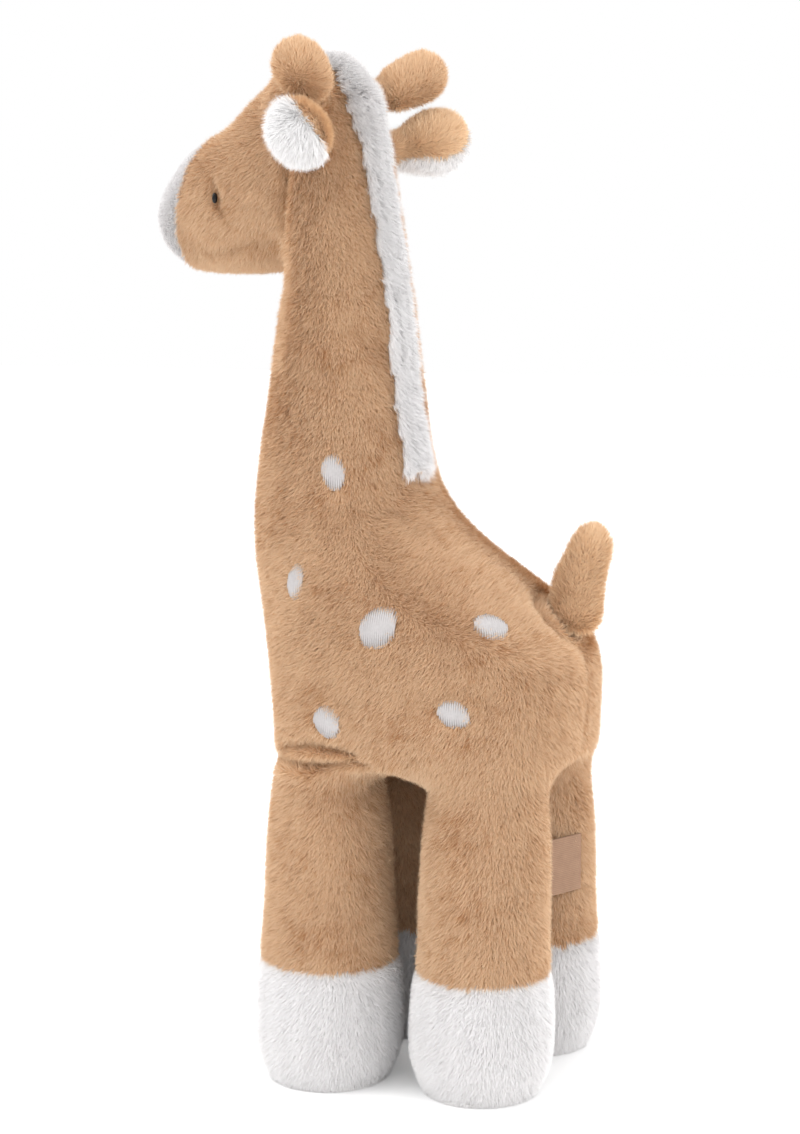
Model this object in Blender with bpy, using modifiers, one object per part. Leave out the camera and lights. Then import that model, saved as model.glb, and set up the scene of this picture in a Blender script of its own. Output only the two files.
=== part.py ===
"""A plush giraffe that stands on four stuffed legs. Metres, +Z up, front to -Y, its left side to +X."""

import math
from collections import namedtuple

import bmesh
import bpy
import numpy as np
from mathutils import Matrix, Vector

# Cloth and clearances
WALL = 0.003  # plush cloth with its pile
GAP = 0.0003  # between neighbours that touch
CUT_REACH = 0.5  # how far a cutting block runs past its plane
BALL_SEGMENTS = 20
BALL_RINGS = 10
SIDES = {"left": 1, "right": -1}

# Body, from the flat belly up to the seam where the head is sewn on
UNDERSIDE_Z = 0.1210
NECK_SEAM_Z = 0.299
RUMP_AXIS_Y = 0.0294
NECK_AXIS_Y = -0.0091
BODY_HALF_LENGTH = 0.065
BODY_HALF_WIDTH = 0.054
NECK_RADIUS = 0.0268
BODY_POINTS = 14
BODY_OVERRUN = 0.011

# Each row of the body: height from belly to neck seam, way from rump axis to neck axis,
# and how far the half length and half width have grown from the neck's radius, then squareness.
BODY_SECTION_SHARES = (
    (0.0, 0.0, 0.843, 0.963, 4.0),
    (0.10, 0.0, 0.90, 1.0, 3.4),
    (0.185, 0.013, 0.975, 1.0, 2.9),
    (0.255, 0.07, 1.0, 0.945, 2.6),
    (0.315, 0.17, 0.955, 0.853, 2.5),
    (0.38, 0.41, 0.775, 0.724, 2.4),
    (0.446, 0.68, 0.568, 0.577, 2.3),
    (0.518, 0.88, 0.385, 0.43, 2.2),
    (0.595, 0.98, 0.267, 0.32, 2.1),
    (0.693, 1.0, 0.194, 0.257, 2.0),
    (0.84, 1.0, 0.084, 0.118, 2.0),
    (1.0, 1.0, 0.0, 0.0, 2.0),
)

# Neck plug, the end of the body's filling that the head turns on
PLUG_RADIUS = 0.016
PLUG_HEIGHT = 0.020
PLUG_SIDES = 20

# Head, in its own frame: origin on the neck's axis at the seam, turned as it rests
HEAD_TURN_AT_REST = math.radians(-18.0)
HEAD_HEIGHT = 0.092
HEAD_HALF_WIDTH = 0.0265
CROWN_POINTS = 12

# Each row of the crown: height, way forward, half length and half width as shares of the head's
# height and half width.
CROWN_SECTION_SHARES = (
    (-0.11, 0.0, 1.01, 1.01),
    (0.02, 0.0, 1.01, 1.01),
    (0.17, 0.027, 0.985, 0.985),
    (0.34, 0.06, 0.985, 0.98),
    (0.55, 0.108, 1.01, 1.0),
    (0.73, 0.14, 1.0, 0.965),
    (0.86, 0.147, 0.86, 0.82),
    (0.945, 0.147, 0.60, 0.58),
    (0.985, 0.147, 0.24, 0.24),
)

FACE_LENGTH = 0.0955
FACE_POINTS = 12

# Each row of the face: way forward, height of its middle, half height and half width, as shares
# of the face's length, the head's height twice and the head's half width.
FACE_SECTION_SHARES = (
    (0.08, 0.49, 0.44, 0.96),
    (0.35, 0.492, 0.452, 1.0),
    (0.54, 0.425, 0.385, 0.95),
    (0.70, 0.36, 0.31, 0.85),
    (0.83, 0.315, 0.245, 0.72),
    (0.93, 0.298, 0.175, 0.54),
    (0.99, 0.293, 0.075, 0.25),
)
FACE_SEAM_FORWARD = 0.009
MUZZLE_SEAM_FORWARD = 0.0745
MUZZLE_SEAM_HEIGHT = 0.026
MUZZLE_SEAM_TILT = math.radians(19.0)

# Eyes, small beads sunk in the face's cloth
EYE_RADIUS = 0.0021
EYE_FORWARD = 0.0465
EYE_HEIGHT = 0.0350
EYE_SINK = 0.0008
EYE_SEGMENTS = 12
EYE_RINGS = 6

# Ears, cupped puffs that lean out and back. Rows: way along, half width and half depth as shares.
EAR_LENGTH = 0.034
EAR_HALF_WIDTH = 0.0150
EAR_HALF_DEPTH = 0.0128
EAR_ROOT_RADIUS = 0.0080
EAR_ROOT_BACK = 0.0015
EAR_ROOT_HEIGHT = 0.0535
EAR_CLEAR = 0.0020  # the root ball's centre above the head's surface
EAR_LEAN_BACK = math.radians(34.0)
EAR_LEAN_UP = math.radians(10.0)
EAR_ROLL = math.radians(46.0)
EAR_LINING_TILT = math.radians(15.0)
EAR_LINING_SHARE = 0.05
EAR_SECTION_SHARES = (
    (0.25, 0.72, 0.84),
    (0.48, 0.98, 1.0),
    (0.70, 0.98, 0.96),
    (0.88, 0.70, 0.70),
    (0.98, 0.28, 0.30),
)
STUB_POINTS = 8
ROOT_ANGLES = (-1.15, -0.55, 0.0, 0.5)  # radians from the level of a stub's root ball

# Horns, short stuffed stubs on the crown
HORN_LENGTH = 0.033
HORN_RADIUS = 0.0115
HORN_ROOT_OUT = 0.0165
HORN_ROOT_BACK = 0.0010
HORN_ROOT_HEIGHT = 0.0730
HORN_LEAN_OUT = math.radians(68.0)
HORN_LEAN_BACK = math.radians(22.0)
HORN_SECTION_SHARES = (
    (0.0, 0.74),
    (0.30, 0.86),
    (0.60, 1.0),
    (0.82, 0.92),
    (0.95, 0.55),
    (1.0, 0.2),
)
HORN_WALL = 0.0025

# Tail, a stuffed stub that stands up from the rump
TAIL_LENGTH = 0.0350
TAIL_RADIUS = 0.0108
TAIL_ROOT_RADIUS = 0.0090
TAIL_ROOT_Z = 0.1780
TAIL_CLEAR = 0.0022  # the root ball's centre above the rump's surface
TAIL_LEAN_BACK = math.radians(13.0)
TAIL_SECTION_SHARES = (
    (0.34, 0.96),
    (0.60, 1.0),
    (0.80, 0.90),
    (0.94, 0.60),
    (1.0, 0.22),
)
TAIL_WALL = 0.0025

# Legs: a ball at the hip, a column, and a wider foot on a flat sole
HIP_X = 0.027
HIP_FRONT_Y = -0.0046
HIP_REAR_Y = 0.0594
HIP_Z = 0.1225
HIP_RADIUS = 0.0225
HIP_DOME_ANGLES = (72.0, 40.0, 0.0, -16.0)  # degrees above the hip's level
FOOT_RADIUS = 0.0293
CUFF_Z = 0.046
LEG_POINTS = 8
LEG_OVERRUN = 0.008
SOLE_THICKNESS = 0.002
SOLE_RADIUS = 0.0248
SOLE_SIDES = 24

# Rows of a leg below the hip: height as a share of the hip's, radius as a share of the foot's.
LEG_SECTION_SHARES = (
    (0.845, 0.83),
    (0.62, 0.843),
    (0.40, 0.88),
    (0.335, 0.983),
    (0.15, 1.013),
    (0.055, 0.955),
    (0.0, 0.87),
)
# Where each foot stands, out and back from its hip
FOOT_STANCE = {
    ("front", "left"): (0.0045, 0.0015),
    ("rear", "left"): (-0.0005, -0.0025),
    ("front", "right"): (-0.0060, 0.0005),
    ("rear", "right"): (-0.0080, -0.0020),
}
HIP_Y = {"front": HIP_FRONT_Y, "rear": HIP_REAR_Y}

# Mane, a strip of long pile from the crown down the back of the neck
MANE_WIDTH = 0.0140
MANE_HEIGHT = 0.0050
MANE_EDGE_SHARE = 0.4  # of the mane's height, at its two long edges
MANE_ROOT = 0.0060
MANE_BOTTOM_Z = 0.2310
MANE_TOP_SHARE = 0.973  # of the head's height
MANE_STEPS = 7

# Spots, embroidered ovals in shallow pockets
SPOT_DEPTH = 0.0014
SPOT_REACH = 0.010
SPOT_SIDES = 16
# Where each spot lies: height from belly to neck seam, then way from the middle of the flank to
# its front or back edge at that height
SPOT_PLACE_SHARES = (
    (0.624, 0.23),
    (0.396, -0.45),
    (0.317, 0.02),
    (0.329, 0.71),
    (0.110, -0.41),
    (0.146, 0.41),
)
SPOT_SIZES = (  # width and height of each oval
    (0.0092, 0.0145),
    (0.0075, 0.0150),
    (0.0146, 0.0160),
    (0.0126, 0.0114),
    (0.0116, 0.0122),
    (0.0122, 0.0100),
)

# Label, a bare strip sewn in a seam of the right rear leg
LABEL_WIDTH = 0.019
LABEL_HEIGHT = 0.022
LABEL_THICKNESS = 0.0006
LABEL_MIDDLE_Z = 0.079
LABEL_SEAM_ANGLE = math.radians(65.0)
LABEL_SEAM_RADIUS = 0.0239

TAN = (0.60, 0.37, 0.21)
WHITE = (0.83, 0.82, 0.80)
FILLING = (0.90, 0.90, 0.88)
THREAD = (0.66, 0.64, 0.66)
BLACK = (0.010, 0.010, 0.012)
TAUPE = (0.36, 0.27, 0.20)

ROUND_CUTTERS = ("hip_socket", "tail_dimple", "ear_dimple", "eye_pocket", "pocket", "horn")

Row = namedtuple("Row", "height x y half_x half_y squareness", defaults=(2.0,))


def clear_scene():
    for obj in list(bpy.data.objects):
        bpy.data.objects.remove(obj)


def make_collection(name):
    found = bpy.data.collections.new(name)
    bpy.context.scene.collection.children.link(found)
    return found


def material(name, colour, roughness=0.9):
    """A matt material, made once for each name."""
    found = bpy.data.materials.get(name) or bpy.data.materials.new(name)
    found.use_nodes = True
    shader = found.node_tree.nodes["Principled BSDF"]
    shader.inputs["Base Color"].default_value = (*colour, 1.0)
    shader.inputs["Roughness"].default_value = roughness
    shader.inputs["Metallic"].default_value = 0.0
    found.diffuse_color = (*colour, 1.0)
    return found


def make_object(name, bm, place, group, cloth=None):
    """Turns a bmesh into an object that stands at place."""
    bmesh.ops.recalc_face_normals(bm, faces=bm.faces)
    mesh = bpy.data.meshes.new(name)
    bm.to_mesh(mesh)
    bm.free()
    mesh.shade_smooth()
    obj = bpy.data.objects.new(name, mesh)
    obj.matrix_world = place
    group.objects.link(obj)
    if cloth:
        mesh.materials.append(cloth)
    if group is helpers:
        obj.hide_render = True
        obj.display_type = "WIRE"
    return obj


def oval(row, points, smooth):
    """The points of one row's outline. A smoothed outline starts wider by what smoothing draws in."""
    widen = 4.0 / (3.0 + math.cos(math.tau / points)) if smooth else 1.0
    power = 2.0 / row.squareness
    for step in range(points):
        angle = math.tau * (step + 0.5) / points
        across = math.copysign(abs(math.cos(angle)) ** power, math.cos(angle))
        along = math.copysign(abs(math.sin(angle)) ** power, math.sin(angle))
        yield Vector((row.x + widen * row.half_x * across, row.y + widen * row.half_y * along, row.height))


def loft(name, rows, points, group, place=None, cloth=None, smooth=True):
    """A closed soft form through rows of outlines, rounded by one step of subdivision."""
    bm = bmesh.new()
    rings = [[bm.verts.new(point) for point in oval(row, points, smooth)] for row in rows]
    for low, high in zip(rings, rings[1:]):
        for i in range(points):
            j = (i + 1) % points
            if smooth:
                bm.faces.new((low[i], low[j], high[j], high[i]))
            else:  # triangles all cut one way, so that nested forms stay the same distance apart
                bm.faces.new((low[i], low[j], high[j]))
                bm.faces.new((low[i], high[j], high[i]))
    bm.faces.new(rings[0][::-1])
    bm.faces.new(rings[-1])
    obj = make_object(name, bm, place or Matrix(), group, cloth)
    if smooth:
        rounding = obj.modifiers.new("Rounding", "SUBSURF")
        rounding.levels = rounding.render_levels = 1
    return obj


def combine(obj, other, operation="DIFFERENCE"):
    boolean = obj.modifiers.new(other.name, "BOOLEAN")
    boolean.operation = operation
    boolean.object = other
    if other.name.startswith(ROUND_CUTTERS):
        boolean.solver = "MANIFOLD"  # the exact solver loses the solid at these shallow hollows


def block(name, low, high, place=None):
    """A cutting block between two corners of its own frame."""
    low, high = Vector(low), Vector(high)
    bm = bmesh.new()
    bmesh.ops.create_cube(bm, size=1.0)
    bmesh.ops.scale(bm, vec=high - low, verts=bm.verts)
    bmesh.ops.translate(bm, vec=(low + high) / 2, verts=bm.verts)
    return make_object(name, bm, place or Matrix(), helpers)


def beyond(name, axis, sign, at, place=None):
    """A cutting block that holds all that lies past a plane square to one axis."""
    low, high = [-CUT_REACH] * 3, [CUT_REACH] * 3
    if sign > 0:
        low[axis] = at
    else:
        high[axis] = at
    return block(name, low, high, place)


def ball(name, radius, place, segments=BALL_SEGMENTS, rings=BALL_RINGS):
    bm = bmesh.new()
    bmesh.ops.create_uvsphere(bm, u_segments=segments, v_segments=rings, radius=radius)
    return make_object(name, bm, place, helpers)


def cylinder(name, radius, low, high, sides, place, group, cloth=None, stretch=1.0):
    """A cylinder, or an oval one, along its own Z from low to high."""
    bm = bmesh.new()
    bmesh.ops.create_cone(
        bm, cap_ends=True, segments=sides, radius1=radius, radius2=radius, depth=high - low
    )
    bmesh.ops.scale(bm, vec=(1.0, stretch, 1.0), verts=bm.verts)
    bmesh.ops.translate(bm, vec=(0.0, 0.0, (low + high) / 2), verts=bm.verts)
    return make_object(name, bm, place, group, cloth)


def aimed(origin, direction, up=Vector((0.0, 0.0, 1.0))):
    """A frame at origin whose Z runs along direction and whose Y leans to up."""
    z = direction.normalized()
    x = up.cross(z).normalized()
    y = z.cross(x)
    turn = Matrix((x, y, z)).transposed().to_4x4()
    return Matrix.Translation(origin) @ turn


def surface_hit(obj, origin, direction):
    """Where a line first meets an object's finished surface, and the surface's normal there."""
    bpy.context.view_layer.update()
    finished = obj.evaluated_get(bpy.context.evaluated_depsgraph_get())
    to_own = finished.matrix_world.inverted()
    own_origin = to_own @ origin
    own_direction = (to_own.to_3x3() @ direction).normalized()
    found, place, normal, _ = finished.ray_cast(own_origin, own_direction)
    if not found:
        raise ValueError(f"no surface of {obj.name} on that line")
    return finished.matrix_world @ place, (finished.matrix_world.to_3x3() @ normal).normalized()


def shrink(radius, inset):
    return max(radius - inset, GAP)


# Body


def body_rows(inset):
    """The body's rows, drawn in by inset, with the ends run on past their cuts."""
    rows = []
    for height, forward, long, wide, squareness in BODY_SECTION_SHARES:
        rows.append(
            Row(
                UNDERSIDE_Z + height * (NECK_SEAM_Z - UNDERSIDE_Z),
                0.0,
                RUMP_AXIS_Y + forward * (NECK_AXIS_Y - RUMP_AXIS_Y),
                NECK_RADIUS + wide * (BODY_HALF_WIDTH - NECK_RADIUS) - inset,
                NECK_RADIUS + long * (BODY_HALF_LENGTH - NECK_RADIUS) - inset,
                squareness,
            )
        )
    first, last = rows[0], rows[-1]
    return [
        first._replace(height=first.height - BODY_OVERRUN),
        *rows,
        last._replace(height=last.height + BODY_OVERRUN),
    ]


def body_form(name, inset, group, cloth=None, smooth=True):
    return loft(name, body_rows(inset), BODY_POINTS, group, cloth=cloth, smooth=smooth)


def make_body(sockets, pockets):
    """Two half covers, sewn along the middle, round one filling."""
    below = beyond("cut_below_body", 2, -1, UNDERSIDE_Z)
    above = beyond("cut_above_body", 2, 1, NECK_SEAM_Z - GAP / 2)
    cavity = body_form("body_cavity", WALL, helpers, smooth=False)
    combine(cavity, beyond("cut_below_cavity", 2, -1, UNDERSIDE_Z + WALL))
    for side, sign in SIDES.items():
        cover = body_form(f"body_cover_{side}", 0.0, parts, material("tan_plush", TAN))
        combine(cover, below)
        combine(cover, above)
        combine(cover, cavity)
        combine(cover, beyond(f"cut_past_{side}", 0, -sign, sign * GAP / 2))
        for cutter in sockets[side] + pockets[side]:
            combine(cover, cutter)
        combine(cover, sockets["tail"])

    filling = body_form("body_filling", WALL + GAP, parts, material("filling", FILLING), smooth=False)
    combine(filling, beyond("cut_below_filling", 2, -1, UNDERSIDE_Z + WALL + GAP))
    combine(filling, above)
    plug_place = Matrix.Translation((0.0, NECK_AXIS_Y, NECK_SEAM_Z))
    plug = cylinder("neck_plug", PLUG_RADIUS, -PLUG_HEIGHT, PLUG_HEIGHT, PLUG_SIDES, plug_place, helpers)
    combine(filling, plug, "UNION")
    for cutter in sockets["left"] + sockets["right"]:
        combine(filling, cutter)
    combine(filling, sockets["tail"])


# Spots


def flank_place(height_share, along_share):
    """The Y and Z of a place on the flank, given as shares of the body there."""
    heights, forward, long, _, _ = zip(*BODY_SECTION_SHARES)
    axis_share = float(np.interp(height_share, heights, forward))
    long_share = float(np.interp(height_share, heights, long))
    axis = RUMP_AXIS_Y + axis_share * (NECK_AXIS_Y - RUMP_AXIS_Y)
    half_length = NECK_RADIUS + long_share * (BODY_HALF_LENGTH - NECK_RADIUS)
    return axis + along_share * half_length, UNDERSIDE_Z + height_share * (NECK_SEAM_Z - UNDERSIDE_Z)


def make_spots(outer):
    """Embroidered ovals on both flanks, and the pockets that they lie in."""
    floor = body_form("spot_floor", SPOT_DEPTH, helpers)
    pocket_floor = body_form("pocket_floor", SPOT_DEPTH + GAP, helpers)
    pockets = {side: [] for side in SIDES}
    for side, sign in SIDES.items():
        for number, (share, (wide, tall)) in enumerate(zip(SPOT_PLACE_SHARES, SPOT_SIZES), 1):
            start = Vector((sign * CUT_REACH, *flank_place(*share)))
            place, normal = surface_hit(outer, start, Vector((-sign, 0.0, 0.0)))
            frame = aimed(place, normal)
            name = f"spot_{side}_{number}"
            spot = cylinder(
                name, wide / 2, -SPOT_REACH, SPOT_REACH, SPOT_SIDES, frame, parts,
                material("embroidery", THREAD), stretch=tall / wide,
            )
            combine(spot, outer, "INTERSECT")
            combine(spot, floor)
            pocket = cylinder(
                f"pocket_{side}_{number}", wide / 2 + GAP, -SPOT_REACH, SPOT_REACH, SPOT_SIDES, frame,
                helpers, stretch=(tall / 2 + GAP) / (wide / 2 + GAP),
            )
            combine(pocket, pocket_floor)
            pockets[side].append(pocket)
    return pockets


# Legs


def hip_place(end, side):
    return Vector((SIDES[side] * HIP_X, HIP_Y[end], HIP_Z))


def leg_rows(end, side, inset):
    """A leg's rows from its sole's plane up to the top of its hip ball."""
    hip = hip_place(end, side)
    out, back = FOOT_STANCE[end, side]
    rows = []
    for height_share, radius_share in reversed(LEG_SECTION_SHARES):
        height = height_share * HIP_Z
        lean = 1.0 - height_share
        radius = shrink(radius_share * FOOT_RADIUS, inset)
        rows.append(Row(height, hip.x + lean * out, hip.y + lean * back, radius, radius))
    for angle in reversed(HIP_DOME_ANGLES):
        radius = HIP_RADIUS - inset
        level = math.cos(math.radians(angle)) * radius
        height = HIP_Z + math.sin(math.radians(angle)) * radius
        rows.append(Row(height, hip.x, hip.y, level, level))
    below = rows[0]
    return [below._replace(height=below.height - LEG_OVERRUN), *rows]


def make_leg(end, side, cuts):
    """One leg: tan cover, white foot, flat sole and the filling inside."""
    name = f"{end}_{side}"
    rows = leg_rows(end, side, 0.0)
    cavity = loft(f"leg_{name}_cavity", leg_rows(end, side, WALL), LEG_POINTS, helpers, smooth=False)
    cover = loft(f"leg_{name}_cover", rows, LEG_POINTS, parts, cloth=material("tan_plush", TAN))
    combine(cover, cuts["below_cuff"])
    combine(cover, cavity)
    foot = loft(f"foot_{name}_cover", rows, LEG_POINTS, parts, cloth=material("white_plush", WHITE))
    combine(foot, cuts["above_cuff"])
    combine(foot, cuts["sole"])
    combine(foot, cavity)
    filling = loft(
        f"leg_{name}_filling", leg_rows(end, side, WALL + GAP), LEG_POINTS, parts,
        cloth=material("filling", FILLING), smooth=False,
    )
    combine(filling, cuts["sole"])
    hip = hip_place(end, side)
    out, back = FOOT_STANCE[end, side]
    standing = Matrix.Translation((hip.x + out, hip.y + back, 0.0))
    cylinder(
        f"foot_{name}_sole", SOLE_RADIUS, 0.0, SOLE_THICKNESS, SOLE_SIDES, standing, parts,
        material("white_plush", WHITE),
    )
    if (end, side) == ("rear", "right"):
        make_label(Vector((hip.x, hip.y, 0.0)), Vector((out, back, 0.0)))


def make_legs():
    cuts = {
        "below_cuff": beyond("cut_below_cuff", 2, -1, CUFF_Z + GAP / 2),
        "above_cuff": beyond("cut_above_cuff", 2, 1, CUFF_Z - GAP / 2),
        "sole": beyond("cut_sole", 2, -1, SOLE_THICKNESS + GAP),
    }
    for end in HIP_Y:
        for side in SIDES:
            make_leg(end, side, cuts)


def make_label(hip, stance):
    """A flat strip that leaves the leg's seam along the leg's side."""
    lean = 1.0 - LABEL_MIDDLE_Z / HIP_Z
    out = Vector((math.cos(LABEL_SEAM_ANGLE), math.sin(LABEL_SEAM_ANGLE), 0.0))
    along = Vector((out.y, -out.x, 0.0))
    radius = LABEL_SEAM_RADIUS + GAP + LABEL_THICKNESS
    seam = hip + lean * stance + radius * out + Vector((0.0, 0.0, LABEL_MIDDLE_Z))
    frame = Matrix((along, Vector((0.0, 0.0, 1.0)), out)).transposed().to_4x4()
    bm = bmesh.new()
    bmesh.ops.create_cube(bm, size=1.0)
    bmesh.ops.scale(bm, vec=(LABEL_WIDTH, LABEL_HEIGHT, LABEL_THICKNESS), verts=bm.verts)
    bmesh.ops.translate(bm, vec=(LABEL_WIDTH / 2, 0.0, 0.0), verts=bm.verts)
    make_object("label", bm, Matrix.Translation(seam) @ frame, parts, material("label_cloth", TAUPE))


# Tail


def tail_frame(ground):
    """The tail's frame: origin at its root ball's centre, just clear of the rump, Z along the tail."""
    direction = Vector((0.0, math.sin(TAIL_LEAN_BACK), math.cos(TAIL_LEAN_BACK)))
    start = Vector((0.0, CUT_REACH, TAIL_ROOT_Z))
    place, normal = surface_hit(ground, start, Vector((0.0, -1.0, 0.0)))
    return aimed(place + TAIL_CLEAR * normal, direction, up=Vector((0.0, 1.0, 0.0)))


def root_rows(radius):
    """Rows of the ball that a stub starts as, round its own origin."""
    return [Row(radius * math.sin(angle), 0.0, 0.0, *[radius * math.cos(angle)] * 2) for angle in ROOT_ANGLES]


def stub_rows(length, radius, root_radius, shares, inset):
    rows = root_rows(root_radius - inset)
    for along, wide in shares:
        half = shrink(wide * radius, inset)
        rows.append(Row(min(along * length, length - inset), 0.0, 0.0, half, half))
    return rows


def make_tail(frame):
    cavity = loft(
        "tail_cavity", stub_rows(TAIL_LENGTH, TAIL_RADIUS, TAIL_ROOT_RADIUS, TAIL_SECTION_SHARES, TAIL_WALL),
        STUB_POINTS, helpers, frame, smooth=False,
    )
    opening = cylinder(
        "tail_opening", TAIL_ROOT_RADIUS / 2, -TAIL_ROOT_RADIUS - GAP, 0.0, STUB_POINTS, frame, helpers
    )
    cover = loft(
        "tail_cover", stub_rows(TAIL_LENGTH, TAIL_RADIUS, TAIL_ROOT_RADIUS, TAIL_SECTION_SHARES, 0.0),
        STUB_POINTS, parts, frame, material("tan_plush", TAN),
    )
    combine(cover, cavity)
    combine(cover, opening)
    loft(
        "tail_filling",
        stub_rows(TAIL_LENGTH, TAIL_RADIUS, TAIL_ROOT_RADIUS, TAIL_SECTION_SHARES, TAIL_WALL + GAP),
        STUB_POINTS, parts, frame, material("filling", FILLING), smooth=False,
    )


# Head


def head_frame():
    turn = Matrix.Rotation(HEAD_TURN_AT_REST, 4, "Z")
    return Matrix.Translation((0.0, NECK_AXIS_Y, NECK_SEAM_Z)) @ turn


def head_form(name, inset, group, cloth=None, smooth=True):
    """The crown above the neck joined with the face that runs forward from it."""
    crown_rows = [
        Row(
            min(height * HEAD_HEIGHT, HEAD_HEIGHT - inset) if height > 0.5 else height * HEAD_HEIGHT,
            0.0,
            -forward * HEAD_HEIGHT,
            shrink(wide * HEAD_HALF_WIDTH, inset),
            shrink(long * HEAD_HALF_WIDTH, inset),
        )
        for height, forward, long, wide in CROWN_SECTION_SHARES
    ]
    face_rows = [
        Row(
            min(forward * FACE_LENGTH, FACE_LENGTH - inset),
            0.0,
            height * HEAD_HEIGHT,
            shrink(wide * HEAD_HALF_WIDTH, inset),
            shrink(tall * HEAD_HEIGHT, inset),
        )
        for forward, height, tall, wide in FACE_SECTION_SHARES
    ]
    frame = head_frame()
    forward_frame = frame @ Matrix.Rotation(math.pi / 2, 4, "X")
    face = loft(f"{name}_face", face_rows, FACE_POINTS, helpers, forward_frame, smooth=smooth)
    crown = loft(name, crown_rows, CROWN_POINTS, group, frame, cloth, smooth=smooth)
    combine(crown, face, "UNION")
    return crown


def ear_frame(side, ground):
    """An ear's frame: origin on its fold, Z along the ear, Y to the back of the puff."""
    sign = SIDES[side]
    head = head_frame()
    turned = head.to_3x3()
    start = head @ Vector((sign * CUT_REACH, EAR_ROOT_BACK, EAR_ROOT_HEIGHT))
    place, normal = surface_hit(ground, start, turned @ Vector((-sign, 0.0, 0.0)))
    direction = Vector((sign * math.cos(EAR_LEAN_BACK), math.sin(EAR_LEAN_BACK), math.tan(EAR_LEAN_UP)))
    roll = Matrix.Rotation(-sign * EAR_ROLL, 4, "Z")
    return aimed(place + EAR_CLEAR * normal, turned @ direction) @ roll


def horn_frame(side):
    sign = SIDES[side]
    flat = math.sin(HORN_LEAN_OUT)
    direction = Vector(
        (sign * flat * math.cos(HORN_LEAN_BACK), flat * math.sin(HORN_LEAN_BACK), math.cos(HORN_LEAN_OUT))
    )
    origin = Vector((sign * HORN_ROOT_OUT, HORN_ROOT_BACK, HORN_ROOT_HEIGHT))
    return head_frame() @ aimed(origin, direction, up=Vector((0.0, 1.0, 0.0)))


def make_ear(side, frame):
    """A puff of tan back and white lining, with a round root that folds in a dimple."""
    rows = root_rows(EAR_ROOT_RADIUS) + [
        Row(along * EAR_LENGTH, 0.0, 0.0, wide * EAR_HALF_WIDTH, deep * EAR_HALF_DEPTH)
        for along, wide, deep in EAR_SECTION_SHARES
    ]
    split = frame @ Matrix.Translation((0.0, 0.0, EAR_LINING_SHARE * EAR_LENGTH))
    split = split @ Matrix.Rotation(-EAR_LINING_TILT, 4, "X")
    back = loft(f"ear_{side}_back", rows, STUB_POINTS, parts, frame, material("tan_plush", TAN))
    combine(back, beyond(f"cut_ear_{side}_lining", 1, -1, GAP / 2, split))
    lining = loft(f"ear_{side}_lining", rows, STUB_POINTS, parts, frame, material("white_plush", WHITE))
    combine(lining, beyond(f"cut_ear_{side}_back", 1, 1, -GAP / 2, split))


def make_horn(side, ground):
    frame = horn_frame(side)

    def rows(inset):
        return [
            Row(min(along * HORN_LENGTH, HORN_LENGTH - inset), 0.0, 0.0, *[shrink(wide * HORN_RADIUS, inset)] * 2)
            for along, wide in HORN_SECTION_SHARES
        ]

    cavity = loft(f"horn_{side}_cavity", rows(HORN_WALL), STUB_POINTS, helpers, frame, smooth=False)
    cover = loft(f"horn_{side}_cover", rows(0.0), STUB_POINTS, parts, frame, material("tan_plush", TAN))
    combine(cover, ground)
    combine(cover, cavity)
    filling = loft(
        f"horn_{side}_filling", rows(HORN_WALL + GAP), STUB_POINTS, parts, frame,
        material("filling", FILLING), smooth=False,
    )
    combine(filling, ground)


def make_eyes(ground):
    """Two bead eyes. Returns the pockets that hold them."""
    pockets = []
    frame = head_frame()
    for side, sign in SIDES.items():
        start = frame @ Vector((sign * CUT_REACH, -EYE_FORWARD, EYE_HEIGHT))
        inward = frame.to_3x3() @ Vector((-sign, 0.0, 0.0))
        place, normal = surface_hit(ground, start, inward)
        centre = Matrix.Translation(place - EYE_SINK * normal)
        pockets.append(ball(f"eye_pocket_{side}", EYE_RADIUS + GAP, centre, EYE_SEGMENTS, EYE_RINGS))
        bm = bmesh.new()
        bmesh.ops.create_uvsphere(bm, u_segments=EYE_SEGMENTS, v_segments=EYE_RINGS, radius=EYE_RADIUS)
        make_object(f"eye_{side}", bm, centre, parts, material("bead", BLACK, 0.2))
    return pockets


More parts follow.
